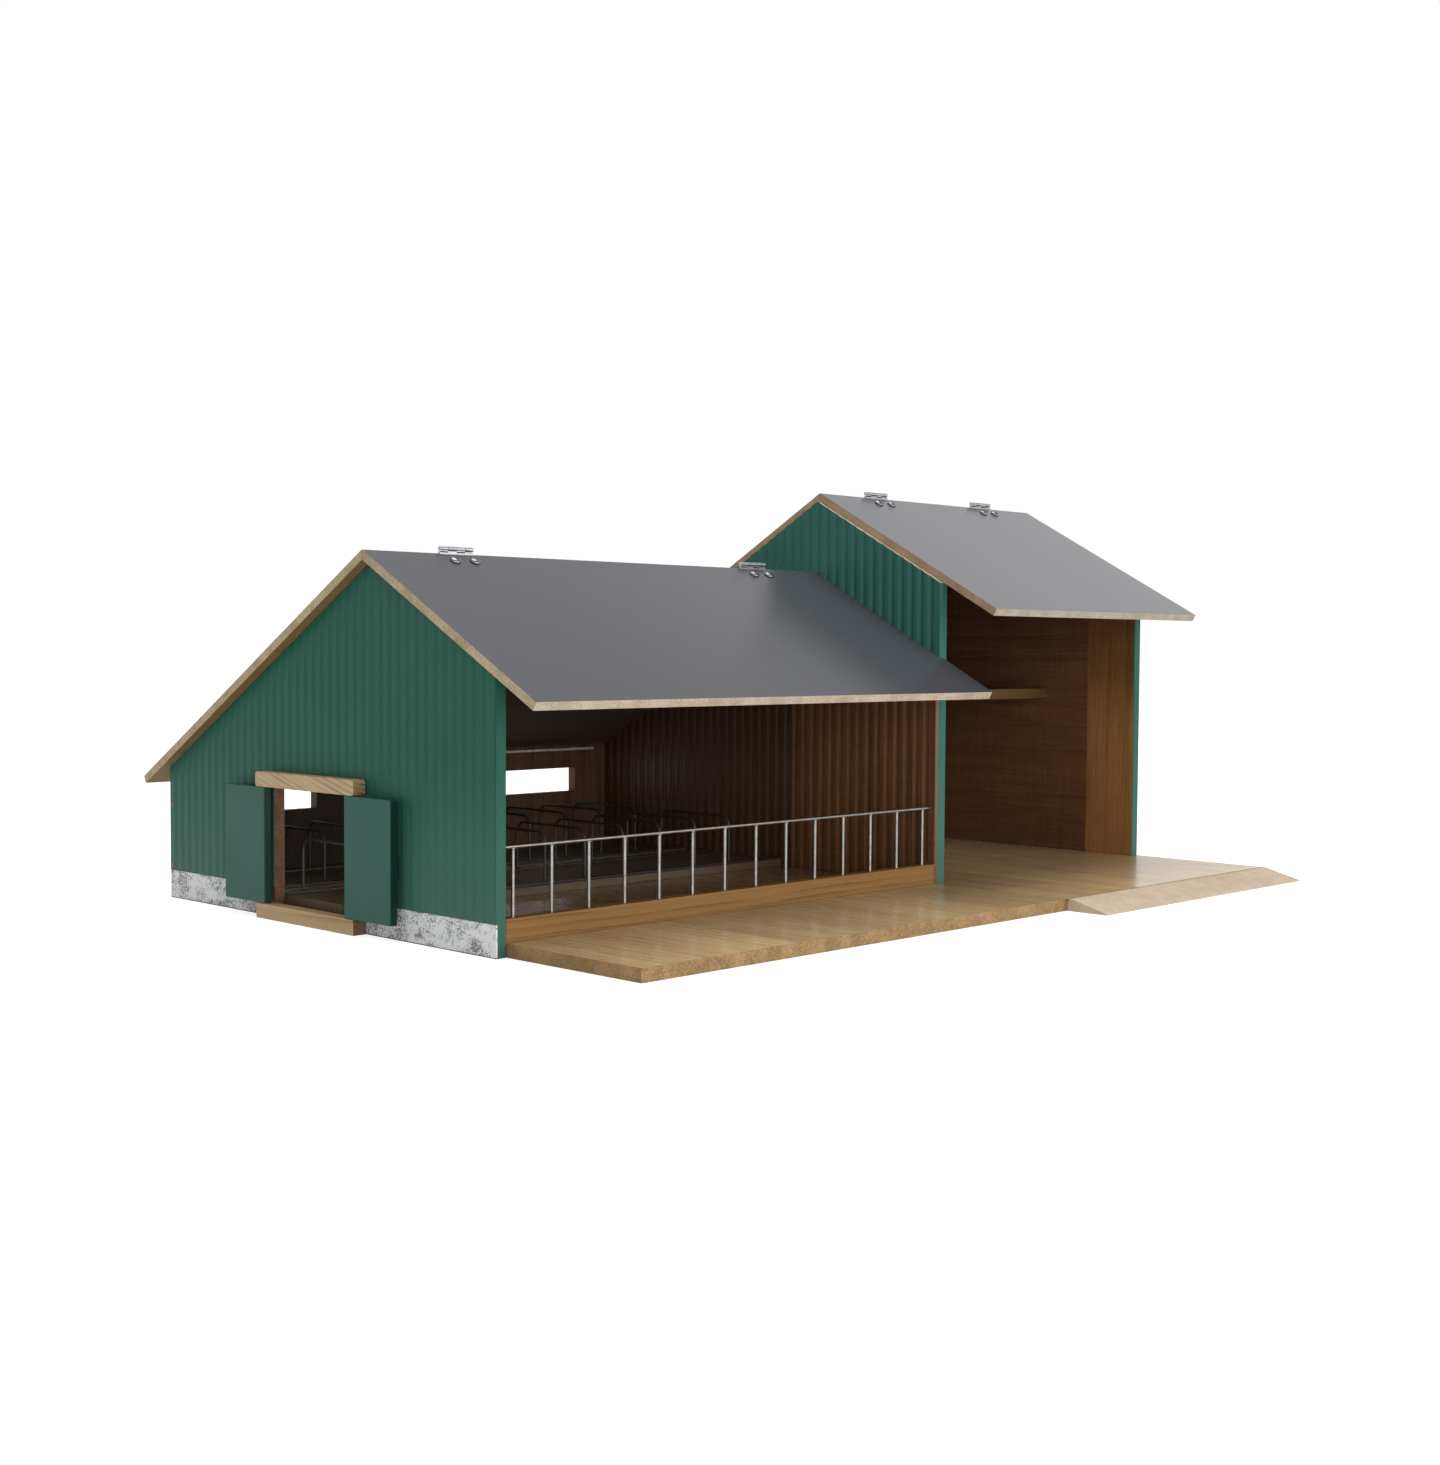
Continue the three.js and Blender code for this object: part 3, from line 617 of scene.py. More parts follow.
# which way each is drawn, its colour, its roughness, and 0 for a satin coat
metalLooks = {
    "zincPlate": ("alongX", (180, 180, 183), 0.34, 1.0),
    "screwMetal": ("alongX", (128, 128, 130), 0.3, 1.0),
    "brightWireUp": ("upAcrossY", (156, 153, 149), 0.34, 1.0),
    "stallWire": ("upAcrossY", (50, 51, 50), 0.42, 0.0),
    "barPaint": ("alongX", (244, 240, 232), 0.3, 0.0),
}


def metalMaterial(name):
    order, colour, roughness, metallic = metalLooks[name]
    material = newMaterial(name)
    skin = useGroup(drawnMetal, Vector=grainVector(order), Color=colour, Roughness=roughness)
    return finish(material, skin["Color"], skin["Roughness"], skin["Height"], 0.00001,
                  metallic=metallic)


# corners of a zone in the row frame, a little larger than the cut itself
def zoneBetween(low, high, margin=0.0008):
    return {
        "low": tuple(value - margin for value in low),
        "high": tuple(value + margin for value in high),
    }


# where two leaves of veneer meet, measured back from a wall's front edge
def seamAt(node, depth, tone, order, figure):
    low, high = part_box(node)
    return {
        "tone": tone,
        "order": order,
        "figure": figure,
        "low": (low.x - 0.1, low.y - 0.1, -0.1),
        "high": (high.x + 0.1, low.y + depth, 1.0),
    }


# openings, measured back from the gable's front edge or in from the back wall's ends, and up
doorway = {"near": 0.1465, "far": 0.2535, "low": 0.009, "high": 0.0965, "skin": 0.0012}
plinth = {"near": 0.1413, "far": 0.2587, "high": 0.03}
windows = {"fromEnd": 0.02, "low": 0.061, "high": 0.085}
gableLow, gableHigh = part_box("left_gable_wall")
backLow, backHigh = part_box("low_back_wall")
doorwayZone = zoneBetween(
    (gableLow.x + doorway["skin"], gableLow.y + doorway["near"], doorway["low"]),
    (gableHigh.x + 0.002, gableLow.y + doorway["far"], doorway["high"]))
plinthGap = zoneBetween((gableLow.x, gableLow.y + plinth["near"], 0),
                        (gableHigh.x, gableLow.y + plinth["far"], plinth["high"]))
windowZone = zoneBetween(
    (backLow.x + windows["fromEnd"], backLow.y - 0.002, windows["low"]),
    (backHigh.x - windows["fromEnd"], backHigh.y - 0.001, windows["high"]))
indoorZone = {"low": (gableLow.x, -1, 0), "high": (1, gableHigh.y, 1)}
# the barn's inside behind the feed board, where the floor's painted shade goes
barnShadeZone = {
    "low": (gableLow.x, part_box("feed_board")[0].y + 0.002, -1),
    "high": (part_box("partition_wall")[0].x, 1, 1),
}

# a fade of painted light and shade is a range of heights, then the veneer's gain at its foot and at
# its head
# painted shade: the right gable's veneer behind its front strip is a darker copy
rightGableShade = seamAt("right_gable_wall", 0.0495, "shedRearShade", "alongYUp", 0.5)
rightGableShade["fade"] = (0.115, 0.19, 1.4, 0.68)
liningSeam = seamAt("partition_lining", 0.154, "liningFront", "upAcrossY", 0.45)
# painted shade: the back wall's veneer darker on its part towards the gable, left of x = -0.14
backWallShade = {
    "tone": "barnCornerShade",
    "order": "upAcrossX",
    "figure": 0.3,
    "low": (-0.14, backLow.y - 0.1, -0.1),
    "high": (backHigh.x + 0.1, backHigh.y + 0.1, 1.0),
}

frontPitch = radians(28.4)
rearPitch = radians(29.5)
frontTop = (0, -sin(frontPitch), cos(frontPitch))
rearTop = (0, sin(rearPitch), cos(rearPitch))

finishes = {
    "left_gable_wall": wallMaterial("leftGable", (1, 0, 0), "upAcrossY", "barnWall",
                                    doorwayZone, calm=2.6),
    "low_back_wall": wallMaterial("lowBackWall", (0, -1, 0), "upAcrossX", "barnWall", windowZone,
                                  backWallShade),
    "partition_wall": wallMaterial("partitionWall", (1, 0, 0), "upAcrossY", "shedWall",
                                   calm=-0.45, paint="litPartitionGreen"),
    "right_gable_wall": wallMaterial("rightGable", (-1, 0, 0), "upAcrossY", "shedWall",
                                     seam=rightGableShade),
    "shed_back_wall": wallMaterial("shedBackWall", (0, -1, 0), "upAcrossX", "shedWall"),
    "partition_lining": veneerMaterial("liningVeneer", "lining", "upAcrossY", liningSeam),
    "loft_shelf": veneerMaterial("shelfVeneer", "shelf", "alongX"),
    "low_barn_floor": floorMaterial(),
    "loading_ramp": rampMaterial(),
    "plinth_strip": concreteMaterial(),
    "door_lintel": pineMaterial("lintelPine"),
    "door_threshold": pineMaterial("thresholdWood"),
    "feed_board": pineMaterial("feedBoardWood"),
    "middle_stall_base": pineMaterial("stallBaseWood"),
    "left_door": doorMaterial(),
}
for roof in ("low", "tall"):
    for slope, top in (("front", frontTop), ("rear", rearTop)):
        finishes[f"{roof}_{slope}_roof"] = roofMaterial(
            roof + slope.title() + "Panel", top, roofLooks[roof])
alike = {
    "shed_floor": "low_barn_floor",
    "rear_stall_base": "middle_stall_base",
    "right_door": "left_door",
    "left_door_handle": "left_door",
    "right_door_handle": "left_door",
}
for name, model in alike.items():
    finishes[name] = finishes[model]
zinc, screwMetal, standingWire, stallWire, barPaint = map(metalMaterial, metalLooks)
for name in nodes:
    if name.endswith("_pin"):
        finishes[name] = zinc
for name, material in finishes.items():
    nodes[name].material_slots[0].material = material
print("materials set on", len(finishes), "boards and fittings")


# softened edges of the boards: the width in metres, and the steps round an edge
edgeGroups = {
    "walls": (0.00035, 2, [
        "left_gable_wall", "low_back_wall", "partition_wall", "right_gable_wall",
        "shed_back_wall", "partition_lining", "loft_shelf"]),
    "roofs": (0.00035, 2, [
        "low_front_roof", "low_rear_roof", "tall_front_roof", "tall_rear_roof"]),
    "floors": (0.0005, 2, [
        "low_barn_floor", "shed_floor", "loading_ramp", "feed_board",
        "middle_stall_base", "rear_stall_base", "door_threshold"]),
    "doors": (0.0007, 3, ["left_door", "right_door", "left_door_handle", "right_door_handle"]),
    "lintel": (0.001, 3, ["door_lintel"]),
    "strips": (0.0002, 2, ["plinth_strip"]),
}
# bends in degrees: up to which faces are joined, from which an edge is rounded or shaded sharp
edgeAngles = {"joined": 1, "rounded": 28, "sharp": 50, "sharpMetal": 35, "sharpScrew": 32}


# smooth shading over gentle bends, sharp over square ones
def buildSmoothing():
    tree = bpy.data.node_groups.new("smoothGentleBends", "GeometryNodeTree")
    for way in ("INPUT", "OUTPUT"):
        tree.interface.new_socket(name="Mesh", in_out=way, socket_type="NodeSocketGeometry")
    kinds = ("NodeGroupInput", "GeometryNodeSetShadeSmooth", "GeometryNodeSetShadeSmooth",
             "NodeGroupOutput")
    given, wholeFaces, bentEdges, result = (tree.nodes.new(kind) for kind in kinds)
    bentEdges.domain = "EDGE"
    bend = tree.nodes.new("GeometryNodeInputMeshEdgeAngle")
    gentle = tree.nodes.new("FunctionNodeCompare")
    gentle.operation = "LESS_THAN"
    feed(gentle, {"A": bend.outputs["Unsigned Angle"], "B": radians(edgeAngles["sharp"])})
    feed(wholeFaces, {0: given.outputs[0]})
    feed(bentEdges, {0: wholeFaces.outputs[0], "Shade Smooth": gentle.outputs[0]})
    feed(result, {0: bentEdges.outputs[0]})
    return tree


smoothing = buildSmoothing()


def softenEdges(piece, width, steps):
    clean = piece.modifiers.new("cleanFaces", "DECIMATE")
    clean.decimate_type = "DISSOLVE"
    clean.angle_limit = radians(edgeAngles["joined"])
    bevel = piece.modifiers.new("softEdges", "BEVEL")
    bevel.width = width
    bevel.segments = steps
    bevel.limit_method = "ANGLE"
    bevel.angle_limit = radians(edgeAngles["rounded"])
    piece.modifiers.new("smoothBends", "NODES").node_group = smoothing
    weigh = piece.modifiers.new("evenFaces", "WEIGHTED_NORMAL")
    weigh.keep_sharp = True
    weigh.weight = 80


for width, steps, boards in edgeGroups.values():
    for board in boards:
        softenEdges(nodes[board], width, steps)
print("board edges softened")


# mesh helpers for the small pieces; a shape is a list of vertices and a list of faces
def addObject(name, data):
    piece = bpy.data.objects.new(name, data)
    scene.collection.objects.link(piece)
    return piece


def shadeSmooth(mesh, sharpAngle):
    for face in mesh.polygons:
        face.use_smooth = True
        face.material_index = 0
    mesh.set_sharp_from_angle(angle=radians(sharpAngle))


def plainMesh(name, shape):
    mesh = bpy.data.meshes.new(name)
    mesh.from_pydata([tuple(vertex) for vertex in shape[0]], [], shape[1])
    return mesh


# other meshes joined to a mesh, with all faces turned outwards
def joinMeshes(mesh, *others):
    builder = bmesh.new()
    for part in (mesh, *others):
        builder.from_mesh(part)
    bmesh.ops.recalc_face_normals(builder, faces=builder.faces)
    builder.to_mesh(mesh)
    builder.free()


def shapeMesh(name, shape, material):
    mesh = plainMesh(name, shape)
    joinMeshes(mesh)
    mesh.materials.append(material)
    shadeSmooth(mesh, edgeAngles["sharpMetal"])
    return mesh


def shapeObject(name, shape, material):
    return addObject(name, shapeMesh(name, shape, material))


# rings of points joined into a skin, closed by a face at each end unless it runs round
def addSkin(shape, rings, closed=False):
    vertices, faces = shape
    first = len(vertices)
    sides = len(rings[0])
    for ring in rings:
        vertices.extend(ring)
    count = len(rings)
    for index in range(count if closed else count - 1):
        here = first + index * sides
        there = first + ((index + 1) % count) * sides
        for side in range(sides):
            after = (side + 1) % sides
            faces.append((here + side, here + after, there + after, there + side))
    if not closed:
        faces.append(tuple(range(first, first + sides)))
        faces.append(tuple(range(first + (count - 1) * sides, first + count * sides)))


# a flat section in Y and Z, drawn out between two places along X
def addStrip(shape, section, ends, side=1):
    addSkin(shape, [[Vector((x, side * y, z)) for y, z in section] for x in ends])


def circle(sides):
    angles = (2 * pi * step / sides for step in range(sides))
    return [(cos(angle), sin(angle)) for angle in angles]


# round wire along a line of points, with slightly rounded ends
def addWire(shape, points, radius, sides, rounding=0.35):
    points = [Vector(point) for point in points]
    start = (points[1] - points[0]).normalized()
    ending = (points[-1] - points[-2]).normalized()
    soft = radius * rounding
    stations = [(points[0], radius - soft), (points[0] + start * soft, radius)]
    stations += [(point, radius) for point in points[1:-1]]
    stations += [(points[-1] - ending * soft, radius), (points[-1], radius - soft)]
    side = start.orthogonal().normalized()
    rings = []
    for index, (place, size) in enumerate(stations):
        before = stations[max(index - 1, 0)][0]
        after = stations[min(index + 1, len(stations) - 1)][0]
        heading = (after - before).normalized()
        side = (side - heading * side.dot(heading)).normalized()
        up = heading.cross(side)
        into = (place - before).normalized() if index else heading
        stretch = 1 / max(into.dot(heading), 0.5)
        turn = heading - into
        bend = turn.normalized() if turn.length > 1e-4 else None
        ring = []
        for across, along in circle(sides):
            offset = (side * across + up * along) * size
            if bend:
                offset += bend * offset.dot(bend) * (stretch - 1)
            ring.append(place + offset)
        rings.append(ring)
    addSkin(shape, rings)


# a turned shape about Z: pairs of radius and height from one end to the other
def addTurned(shape, profile, sides, matrix=Matrix.Identity(4), closed=False):
    addSkin(shape, [[matrix @ Vector((radius * across, radius * along, height))
                     for across, along in circle(sides)] for radius, height in profile], closed)


# an arch in its own plane: from its foot to a level, round two bends, and back
def archPoints(near, far, foot, level, bend, steps):
    way = -1 if level > foot else 1
    points = [(near, foot)]
    for centre, start in ((near + bend, pi), (far - bend, -way * pi / 2)):
        angles = (start + way * pi / 2 * step / steps for step in range(steps + 1))
        points += [(centre + bend * cos(angle), level + way * bend + bend * sin(angle))
                   for angle in angles]
    return points + [(far, foot)]


def dressNode(piece, body, node):
    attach(piece, body)
    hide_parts(node)


fence = {
    "wireRadius": 0.0012,
    "firstPost": 0.009,
    "postPitch": 0.03195,
    "sides": 16,
    "beadRadius": 0.0017,
    "beadHalf": 0.0008,
    "beadFlat": 0.0003,
}


def buildFence():
    low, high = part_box("feed_fence")
    radius = fence["wireRadius"]
    middle = (low.y + high.y) / 2
    rail = high.z - radius
    shape = ([], [])
    addWire(shape, [(low.x, middle, rail), (high.x, middle, rail)], radius, fence["sides"])
    reach, half, flat = fence["beadRadius"], fence["beadHalf"], fence["beadFlat"]
    bead = [(reach * 0.6, -half), (reach, -flat), (reach, flat), (reach * 0.6, half)]
    x = low.x + fence["firstPost"]
    while x < high.x - radius:
        addWire(shape, [(x, middle, low.z), (x, middle, rail)], radius, fence["sides"])
        addTurned(shape, bead, fence["sides"],
                  Matrix.Translation((x, middle, rail - radius * 0.9)))
        x += fence["postPitch"]
    dressNode(shapeObject("feedFenceWire", shape, standingWire), "shell", "feed_fence")


stalls = {
    "wireRadius": 0.0011,
    "firstHoop": 0.016,
    "hoopPitch": 0.0401,
    "hoopCount": 10,
    "bendRadius": 0.009,
    "bendSteps": 9,
    "stripWidth": 0.006,
    "stripThickness": 0.0012,
    "collarWaist": 0.0005,
    "collarTop": 0.0009,
    "sides": 14,
}


def buildStallRow(node):
    low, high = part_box(node)
    radius = stalls["wireRadius"]
    half = stalls["stripWidth"] / 2
    stripTop = low.z + stalls["stripThickness"]
    front, back = low.y + half, high.y - half
    collar = [(radius * 1.9, 0), (radius * 1.5, stalls["collarWaist"]),
              (radius, stalls["collarTop"])]
    arch = archPoints(front, back, low.z, high.z - radius, stalls["bendRadius"],
                      stalls["bendSteps"])
    shape = ([], [])
    for hoop in range(stalls["hoopCount"]):
        x = low.x + stalls["firstHoop"] + hoop * stalls["hoopPitch"]
        addWire(shape, [(x, y, z) for y, z in arch], radius, stalls["sides"])
        for leg in (front, back):
            addTurned(shape, collar, stalls["sides"], Matrix.Translation((x, leg, stripTop)))
    for leg in (front, back):
        corners = [(leg - half, low.z), (leg + half, low.z), (leg + half, stripTop),
                   (leg - half, stripTop)]
        addStrip(shape, corners, (low.x, high.x))
    dressNode(shapeObject(node + "Wire", shape, stallWire), "shell", node)


windowBar = {
    "wireRadius": 0.0012,
    "bendRadius": 0.003,
    "bendSteps": 8,
    "sides": 16,
}


def buildWindowBar():
    low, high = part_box("window_bar")
    radius = windowBar["wireRadius"]
    height = (low.z + high.z) / 2
    arch = archPoints(low.x + radius, high.x - radius, high.y, low.y + radius,
                      windowBar["bendRadius"], windowBar["bendSteps"])
    shape = ([], [])
    addWire(shape, [(x, y, height) for x, y in arch], radius, windowBar["sides"])
    dressNode(shapeObject("windowBarWire", shape, barPaint), "shell", "window_bar")


buildFence()
buildStallRow("middle_stall_frame")
buildStallRow("rear_stall_frame")
buildWindowBar()
print("fence, stall dividers and bar built")


hinge = {
    "length": 0.029,
    "rise": 0.0032,
    "barrelRadius": 0.0016,
    "boreRadius": 0.0008,
    "knuckles": 4,
    "knuckleGap": 0.0003,
    "knuckleRounding": 0.00015,
    "leafThickness": 0.0008,
    "leafReach": 0.02,
    "webGap": 0.0002,
    "webDrop": 0.0003,
    "underPanel": 0.0063,
    "sides": 36,
    "pinPlay": 0.00005,
    "pinRounding": 0.0002,
    "pinSides": 20,
}
sideways = Matrix.Rotation(pi / 2, 4, "Y")


# one leaf: a plate under its panel, a web down between the panels, and every second knuckle
def hingeLeafMesh(name, side, pitch, firstKnuckle):
    radius, bore = hinge["barrelRadius"], hinge["boreRadius"]
    thickness = hinge["leafThickness"]
    inner, outer = hinge["webGap"], hinge["webGap"] + thickness
    webTop = -(radius + hinge["webDrop"])
    half = hinge["length"] / 2

    def plate(reach):
        return -hinge["rise"] - hinge["underPanel"] / cos(pitch) - reach * tan(pitch)

    far = outer + hinge["leafReach"] * cos(pitch)
    section = [
        (inner, webTop), (outer, webTop), (outer, plate(outer)), (far, plate(far)),
        (far - thickness * sin(pitch), plate(far) - thickness * cos(pitch)),
        (inner, plate(inner) - thickness / cos(pitch)),
    ]
    tongue = [(inner, webTop - thickness), (outer, webTop - thickness),
              (outer, -radius * 0.7), (inner, -radius * 0.85)]
    shape = ([], [])
    addStrip(shape, section, (-half, half), side)
    width = hinge["length"] / hinge["knuckles"]
    soft = hinge["knuckleRounding"]
    for index in range(firstKnuckle, hinge["knuckles"], 2):
        start = -half + index * width + hinge["knuckleGap"] / 2
        end = start + width - hinge["knuckleGap"]
        profile = [(bore, start), (radius - soft, start), (radius, start + soft),
                   (radius, end - soft), (radius - soft, end), (bore, end)]
        addTurned(shape, profile, hinge["sides"], sideways, True)
        addStrip(shape, tongue, (start, end), side)
    return shapeMesh(name, shape, zinc)


def hingePinMesh():
    half = hinge["length"] / 2
    radius = hinge["boreRadius"] - hinge["pinPlay"]
    soft = hinge["pinRounding"]
    profile = [(radius * 0.5, -half), (radius, -half + soft), (radius, half - soft),
               (radius * 0.5, half)]
    shape = ([], [])
    addTurned(shape, profile, hinge["pinSides"], sideways)
    return shapeMesh("hingePinSource", shape, zinc)


screw = {
    "spacing": 0.017,
    "drop": 0.012,
    "shankRadius": 0.0015,
    "shankSides": 20,
    "headRadius": 0.004,
    "headHeight": 0.0023,
    "rimShare": 0.14,
    "domeSteps": 8,
    "seat": 0.0003,
    "nutRadius": 0.0031,
    "nutTop": -0.0074,
    "nutHeight": 0.0022,
    "nutRounding": 0.0003,
    "tail": 0.001,
    "crossWidth": 0.0009,
    "crossReach": 0.0021,
    "crossDepth": 0.0014,
    "turn": 0.4,
    "turnStep": 1.1,
    "turnPerMetre": 7,
    "sides": 40,
}


def screwHead():
    seat, height, radius = screw["seat"], screw["headHeight"], screw["headRadius"]
    rim = screw["rimShare"]
    dome = [(radius * 0.92, seat), (radius, seat + height * rim)]
    for step in range(1, screw["domeSteps"]):
        angle = pi / 2 * step / screw["domeSteps"]
        rise = rim + (1 - rim) * sin(angle)
        dome.append((radius * cos(angle), seat + height * rise))
    dome.append((radius * 0.04, seat + height))
    shape = ([], [])
    addTurned(shape, dome, screw["sides"])
    return shapeObject("screwHeadSource", shape, screwMetal)


def crossRecess():
    top = screw["seat"] + screw["headHeight"] * 1.2
    bottom = screw["seat"] + screw["headHeight"] - screw["crossDepth"]
    reach, half = screw["crossReach"], screw["crossWidth"] / 2
    shape = ([], [])
    for turn in (0, pi / 2):
        spin = Matrix.Rotation(turn, 4, "Z")
        addSkin(shape, [
            [spin @ Vector((x, y, z)) for x, y in ((-r, -w), (r, -w), (r, w), (-r, w))]
            for r, w, z in ((reach * 0.45, half * 0.6, bottom), (reach, half, top))
        ])
    return shapeObject("crossRecessSource", shape, screwMetal)


def nutAndShank():
    nutTop, nutFoot = screw["nutTop"], screw["nutTop"] - screw["nutHeight"]
    shank, nut = screw["shankRadius"], screw["nutRadius"]
    soft = screw["nutRounding"]
    shape = ([], [])
    addTurned(shape, [(shank * 0.7, nutFoot - screw["tail"]),
                      (shank, nutFoot - screw["tail"] * 0.7),
                      (shank, screw["seat"] + 0.0002)], screw["shankSides"])
    addTurned(shape, [(nut * 0.86, nutFoot), (nut, nutFoot + soft), (nut, nutTop - soft),
                      (nut * 0.86, nutTop)], 6)
    return plainMesh("nutAndShank", shape)


# a domed head with a cross recess, its shank, and a hexagon nut below
def screwMesh():
    head, cutter = screwHead(), crossRecess()
    carve = head.modifiers.new("carve", "BOOLEAN")
    carve.operation = "DIFFERENCE"
    carve.solver = "EXACT"
    carve.use_self = True
    carve.object = cutter
    carved = head.evaluated_get(bpy.context.evaluated_depsgraph_get())
    mesh = bpy.data.meshes.new_from_object(carved)
    joinMeshes(mesh, nutAndShank())
    shadeSmooth(mesh, edgeAngles["sharpScrew"])
    for source in (head, cutter):
        bpy.data.objects.remove(source)
    mesh.name = "roofScrew"
    return mesh


def placeCopy(name, mesh, matrix, body, node):
    piece = addObject(name, mesh)
    piece.matrix_world = matrix
    dressNode(piece, body, node)


def buildHinges():
    slopes = {"front": (-1, frontPitch, 0), "rear": (1, rearPitch, 1)}
    leaves = {slope: hingeLeafMesh(slope + "LeafSource", *values)
              for slope, values in slopes.items()}
    pinMesh, screwShape = hingePinMesh(), screwMesh()
    for roof in ("low", "tall"):
        for hand in ("left", "right"):
            pin = f"{roof}_hinge_pin_{hand}"
            low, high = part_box(pin)
            pinPlace = (Vector(low) + Vector(high)) / 2
            axis = Matrix.Translation(pinPlace)
            placeCopy(f"{roof}HingePin_{hand}", pinMesh, axis, "shell", pin)
            for slope, (side, pitch, _) in slopes.items():
                body = "shell" if slope == "rear" else roof + "_roof"
                placeCopy(f"{roof}HingeLeaf_{slope}_{hand}", leaves[slope], axis, body,
                          f"{roof}_{slope}_hinge_leaf_{hand}")
                tilt = Matrix.Translation(pinPlace - Vector((0, 0, hinge["rise"])))
                tilt = tilt @ Matrix.Rotation(-side * pitch, 4, "X")
                for order, end in enumerate((-1, 1)):
                    place = Matrix.Translation((end * screw["spacing"] / 2,
                                                side * screw["drop"], 0))
                    turn = screw["turn"] + screw["turnStep"] * order
                    spin = Matrix.Rotation(turn + pinPlace.x * screw["turnPerMetre"], 4, "Z")
                    placeCopy(f"{roof}Screw_{slope}_{hand}_{order + 1}", screwShape,
                              tilt @ place @ spin, body, f"{roof}_{slope}_screw_{hand}_{order + 1}")


buildHinges()
print("hinges and screws built")


plugs = {
    "radius": 0.0019,
    "proud": 0.0004,
    "sunk": 0.0006,
    "heights": (0.072, 0.026),
    "fromBack": 0.0045,
    "sides": 24,
}


# two small wooden plugs over the fixings at the gable's rear edge
def buildPlugs():
    plugWood = pineMaterial("plugWood")
    radius, proud = plugs["radius"], plugs["proud"]
    profile = [(radius, -plugs["sunk"]), (radius, proud * 0.5), (radius * 0.8, proud * 0.9),
               (radius * 0.3, proud)]
    for index, height in enumerate(plugs["heights"]):
        place = Matrix.Translation((gableLow.x, gableHigh.y - plugs["fromBack"], height))
        place = place @ Matrix.Rotation(-pi / 2, 4, "Y")
        shape = ([], [])
        addTurned(shape, profile, plugs["sides"], place)
        piece = shapeObject(f"fixingPlug_{index + 1}", shape, plugWood)
        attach(piece, "shell")


buildPlugs()
print("plugs built")


# the ceiling's range is the sine of the height above the horizon; the glow's is in metres
studio = {
    "worldStrength": 0.24,
    "ceilingShade": 0.45,
    "ceilingRange": (0.42, 0.68),
    "floorBounce": 0.9,
    "floorShade": 0.5,
    "floorGlow": 0.82,
    "farGlow": 1.0,
    "glowRange": (1.2, 3.2),
    "floorReach": 20.0,
    "floorDrop": 0.0003,
    "lampAim": (0, 0, 0.1),
}
# place, size and power
lamps = {
    "overhead": ((0.1, 0.3, 3.0), 2.6, 70),
    "leftKey": ((-1.8, -2.2, 0.38), 1.3, 18.5),
    "frontFill": ((0.7, -3.0, 1.0), 2.2, 42),
}


# an even grey, already linear
def grey(value):
    return (value, value, value, 1)


# one surface for the rays that show it, and another for the light that it gives or throws back
def seenOrNot(seen, unseen):
    path = put("LightPath").outputs
    both = maths("MAXIMUM", path["Is Camera Ray"], path["Is Glossy Ray"])
    share = maths("MAXIMUM", both, path["Is Transmission Ray"])
    return put("MixShader", {0: share, 1: unseen.outputs[0], 2: seen.outputs[0]}).outputs[0]


# a plain world for the light, seen white by the camera and shaded overhead in reflections
def buildWorld():
    world = bpy.data.worlds.new("studio")
    scene.world = world
    world.use_nodes = True
    drawing["tree"] = world.node_tree
    world.node_tree.nodes.clear()
    light = put("Background", {"Color": grey(1), "Strength": studio["worldStrength"]})
    skyward = axesOf(put("TexCoord").outputs["Generated"])[2]
    ceiling = remap(skyward, *studio["ceilingRange"], 1.0, studio["ceilingShade"])
    bright = maths("MAXIMUM", ceiling, put("LightPath").outputs["Is Camera Ray"])
    white = put("Background", {"Color": grey(1), "Strength": bright})
    put("OutputWorld", {"Surface": seenOrNot(white, light)})


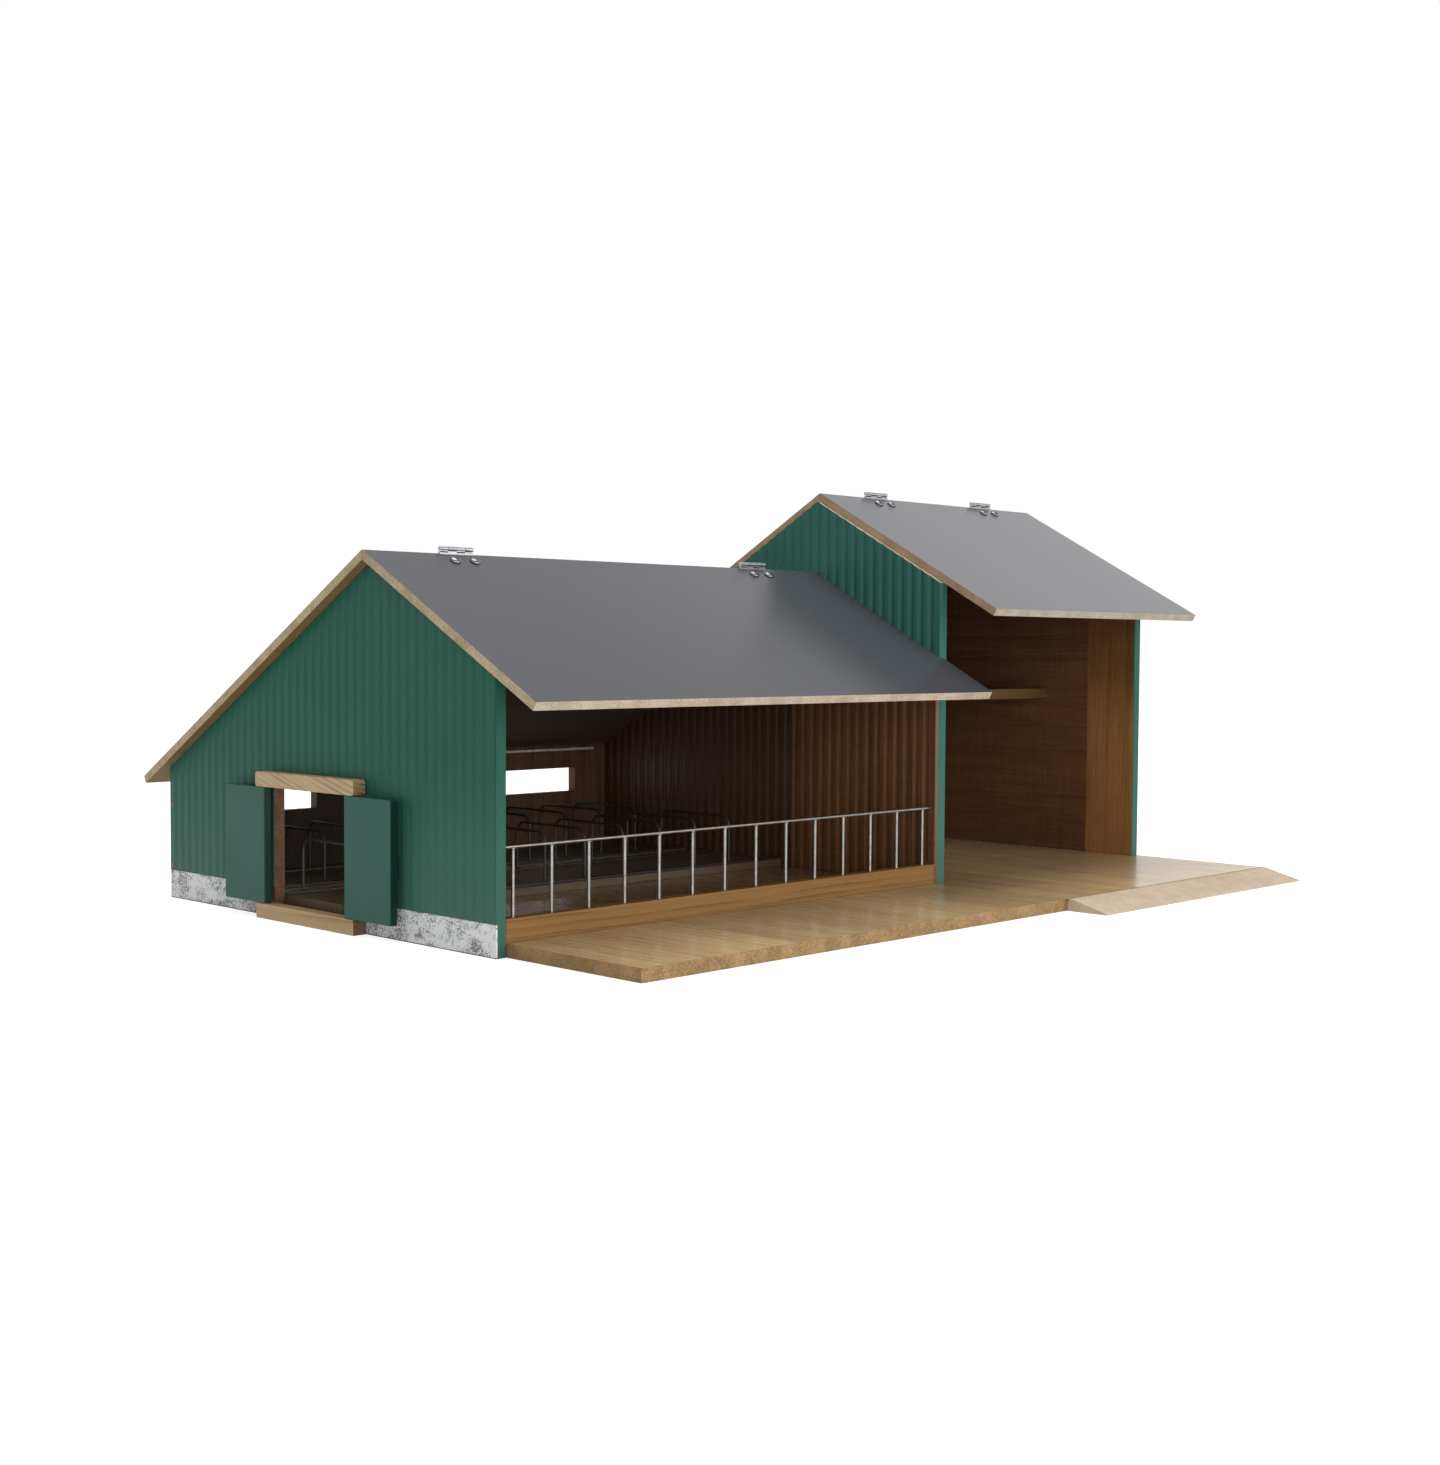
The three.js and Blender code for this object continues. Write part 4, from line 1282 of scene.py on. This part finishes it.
# a floor that glows enough to be seen white, and still takes the object's shadow
def buildFloor():
    reach, drop = studio["floorReach"], studio["floorDrop"]
    corners = [(x * reach, y * reach, -drop) for x, y in ((-1, -1), (1, -1), (1, 1), (-1, 1))]
    mesh = plainMesh("studioFloor", (corners, [(0, 1, 2, 3)]))
    floor = addObject("studioFloor", mesh)
    material = newMaterial("studioWhite")
    parts = material.node_tree.nodes
    parts.remove(parts["Principled BSDF"])
    bounce = put("BsdfDiffuse", {"Color": grey(studio["floorBounce"])})
    dim = put("BsdfDiffuse", {"Color": grey(studio["floorShade"])})
    away = vectorMaths("LENGTH", objectPlace()).node.outputs["Value"]
    strength = remap(away, *studio["glowRange"], studio["floorGlow"], studio["farGlow"])
    glow = put("Emission", {"Color": grey(1), "Strength": strength})
    seen = put("AddShader", {0: dim.outputs[0], 1: glow.outputs[0]})
    feed(parts["Material Output"], {"Surface": seenOrNot(seen, bounce)})
    mesh.materials.append(material)


def buildLamps():
    for name, (place, size, power) in lamps.items():
        data = bpy.data.lights.new(name, "AREA")
        data.shape, data.size, data.energy = "DISK", size, power
        lamp = addObject(name, data)
        lamp.location = place
        lamp.rotation_mode = "QUATERNION"
        aim = Vector(studio["lampAim"]) - Vector(place)
        lamp.rotation_quaternion = aim.to_track_quat("-Z", "Y")


# the photograph's own viewpoint, found from the barn's straight edges
photoCamera = {
    "place": (-1.09426, -1.04026, 0.19557),
    "yaw": 0.7950625,
    "pitch": -0.0457803,
    "roll": 0.0055904,
    "focalPixels": 1857.324,
    "longSide": 1465,
    "sensorWidth": 36.0,
}


def buildCamera():
    data = bpy.data.cameras.new("photoCamera")
    data.sensor_width = photoCamera["sensorWidth"]
    data.lens = data.sensor_width * photoCamera["focalPixels"] / photoCamera["longSide"]
    data.clip_start, data.clip_end = 0.02, 60.0
    camera = addObject("photoCamera", data)
    yaw, pitch, roll = (photoCamera[key] for key in ("yaw", "pitch", "roll"))
    forward = Vector((sin(yaw) * cos(pitch), cos(yaw) * cos(pitch),
                      sin(pitch)))
    right = Vector((cos(yaw), -sin(yaw), 0))
    up = right.cross(forward)
    rolledRight = right * cos(roll) + up * sin(roll)
    rolledUp = up * cos(roll) - right * sin(roll)
    turn = Matrix((rolledRight, rolledUp, -forward)).transposed().to_4x4()
    camera.matrix_world = Matrix.Translation(photoCamera["place"]) @ turn
    scene.camera = camera


buildWorld()
buildFloor()
buildLamps()
buildCamera()
scene.view_settings.view_transform = "Standard"
print("studio and camera ready")
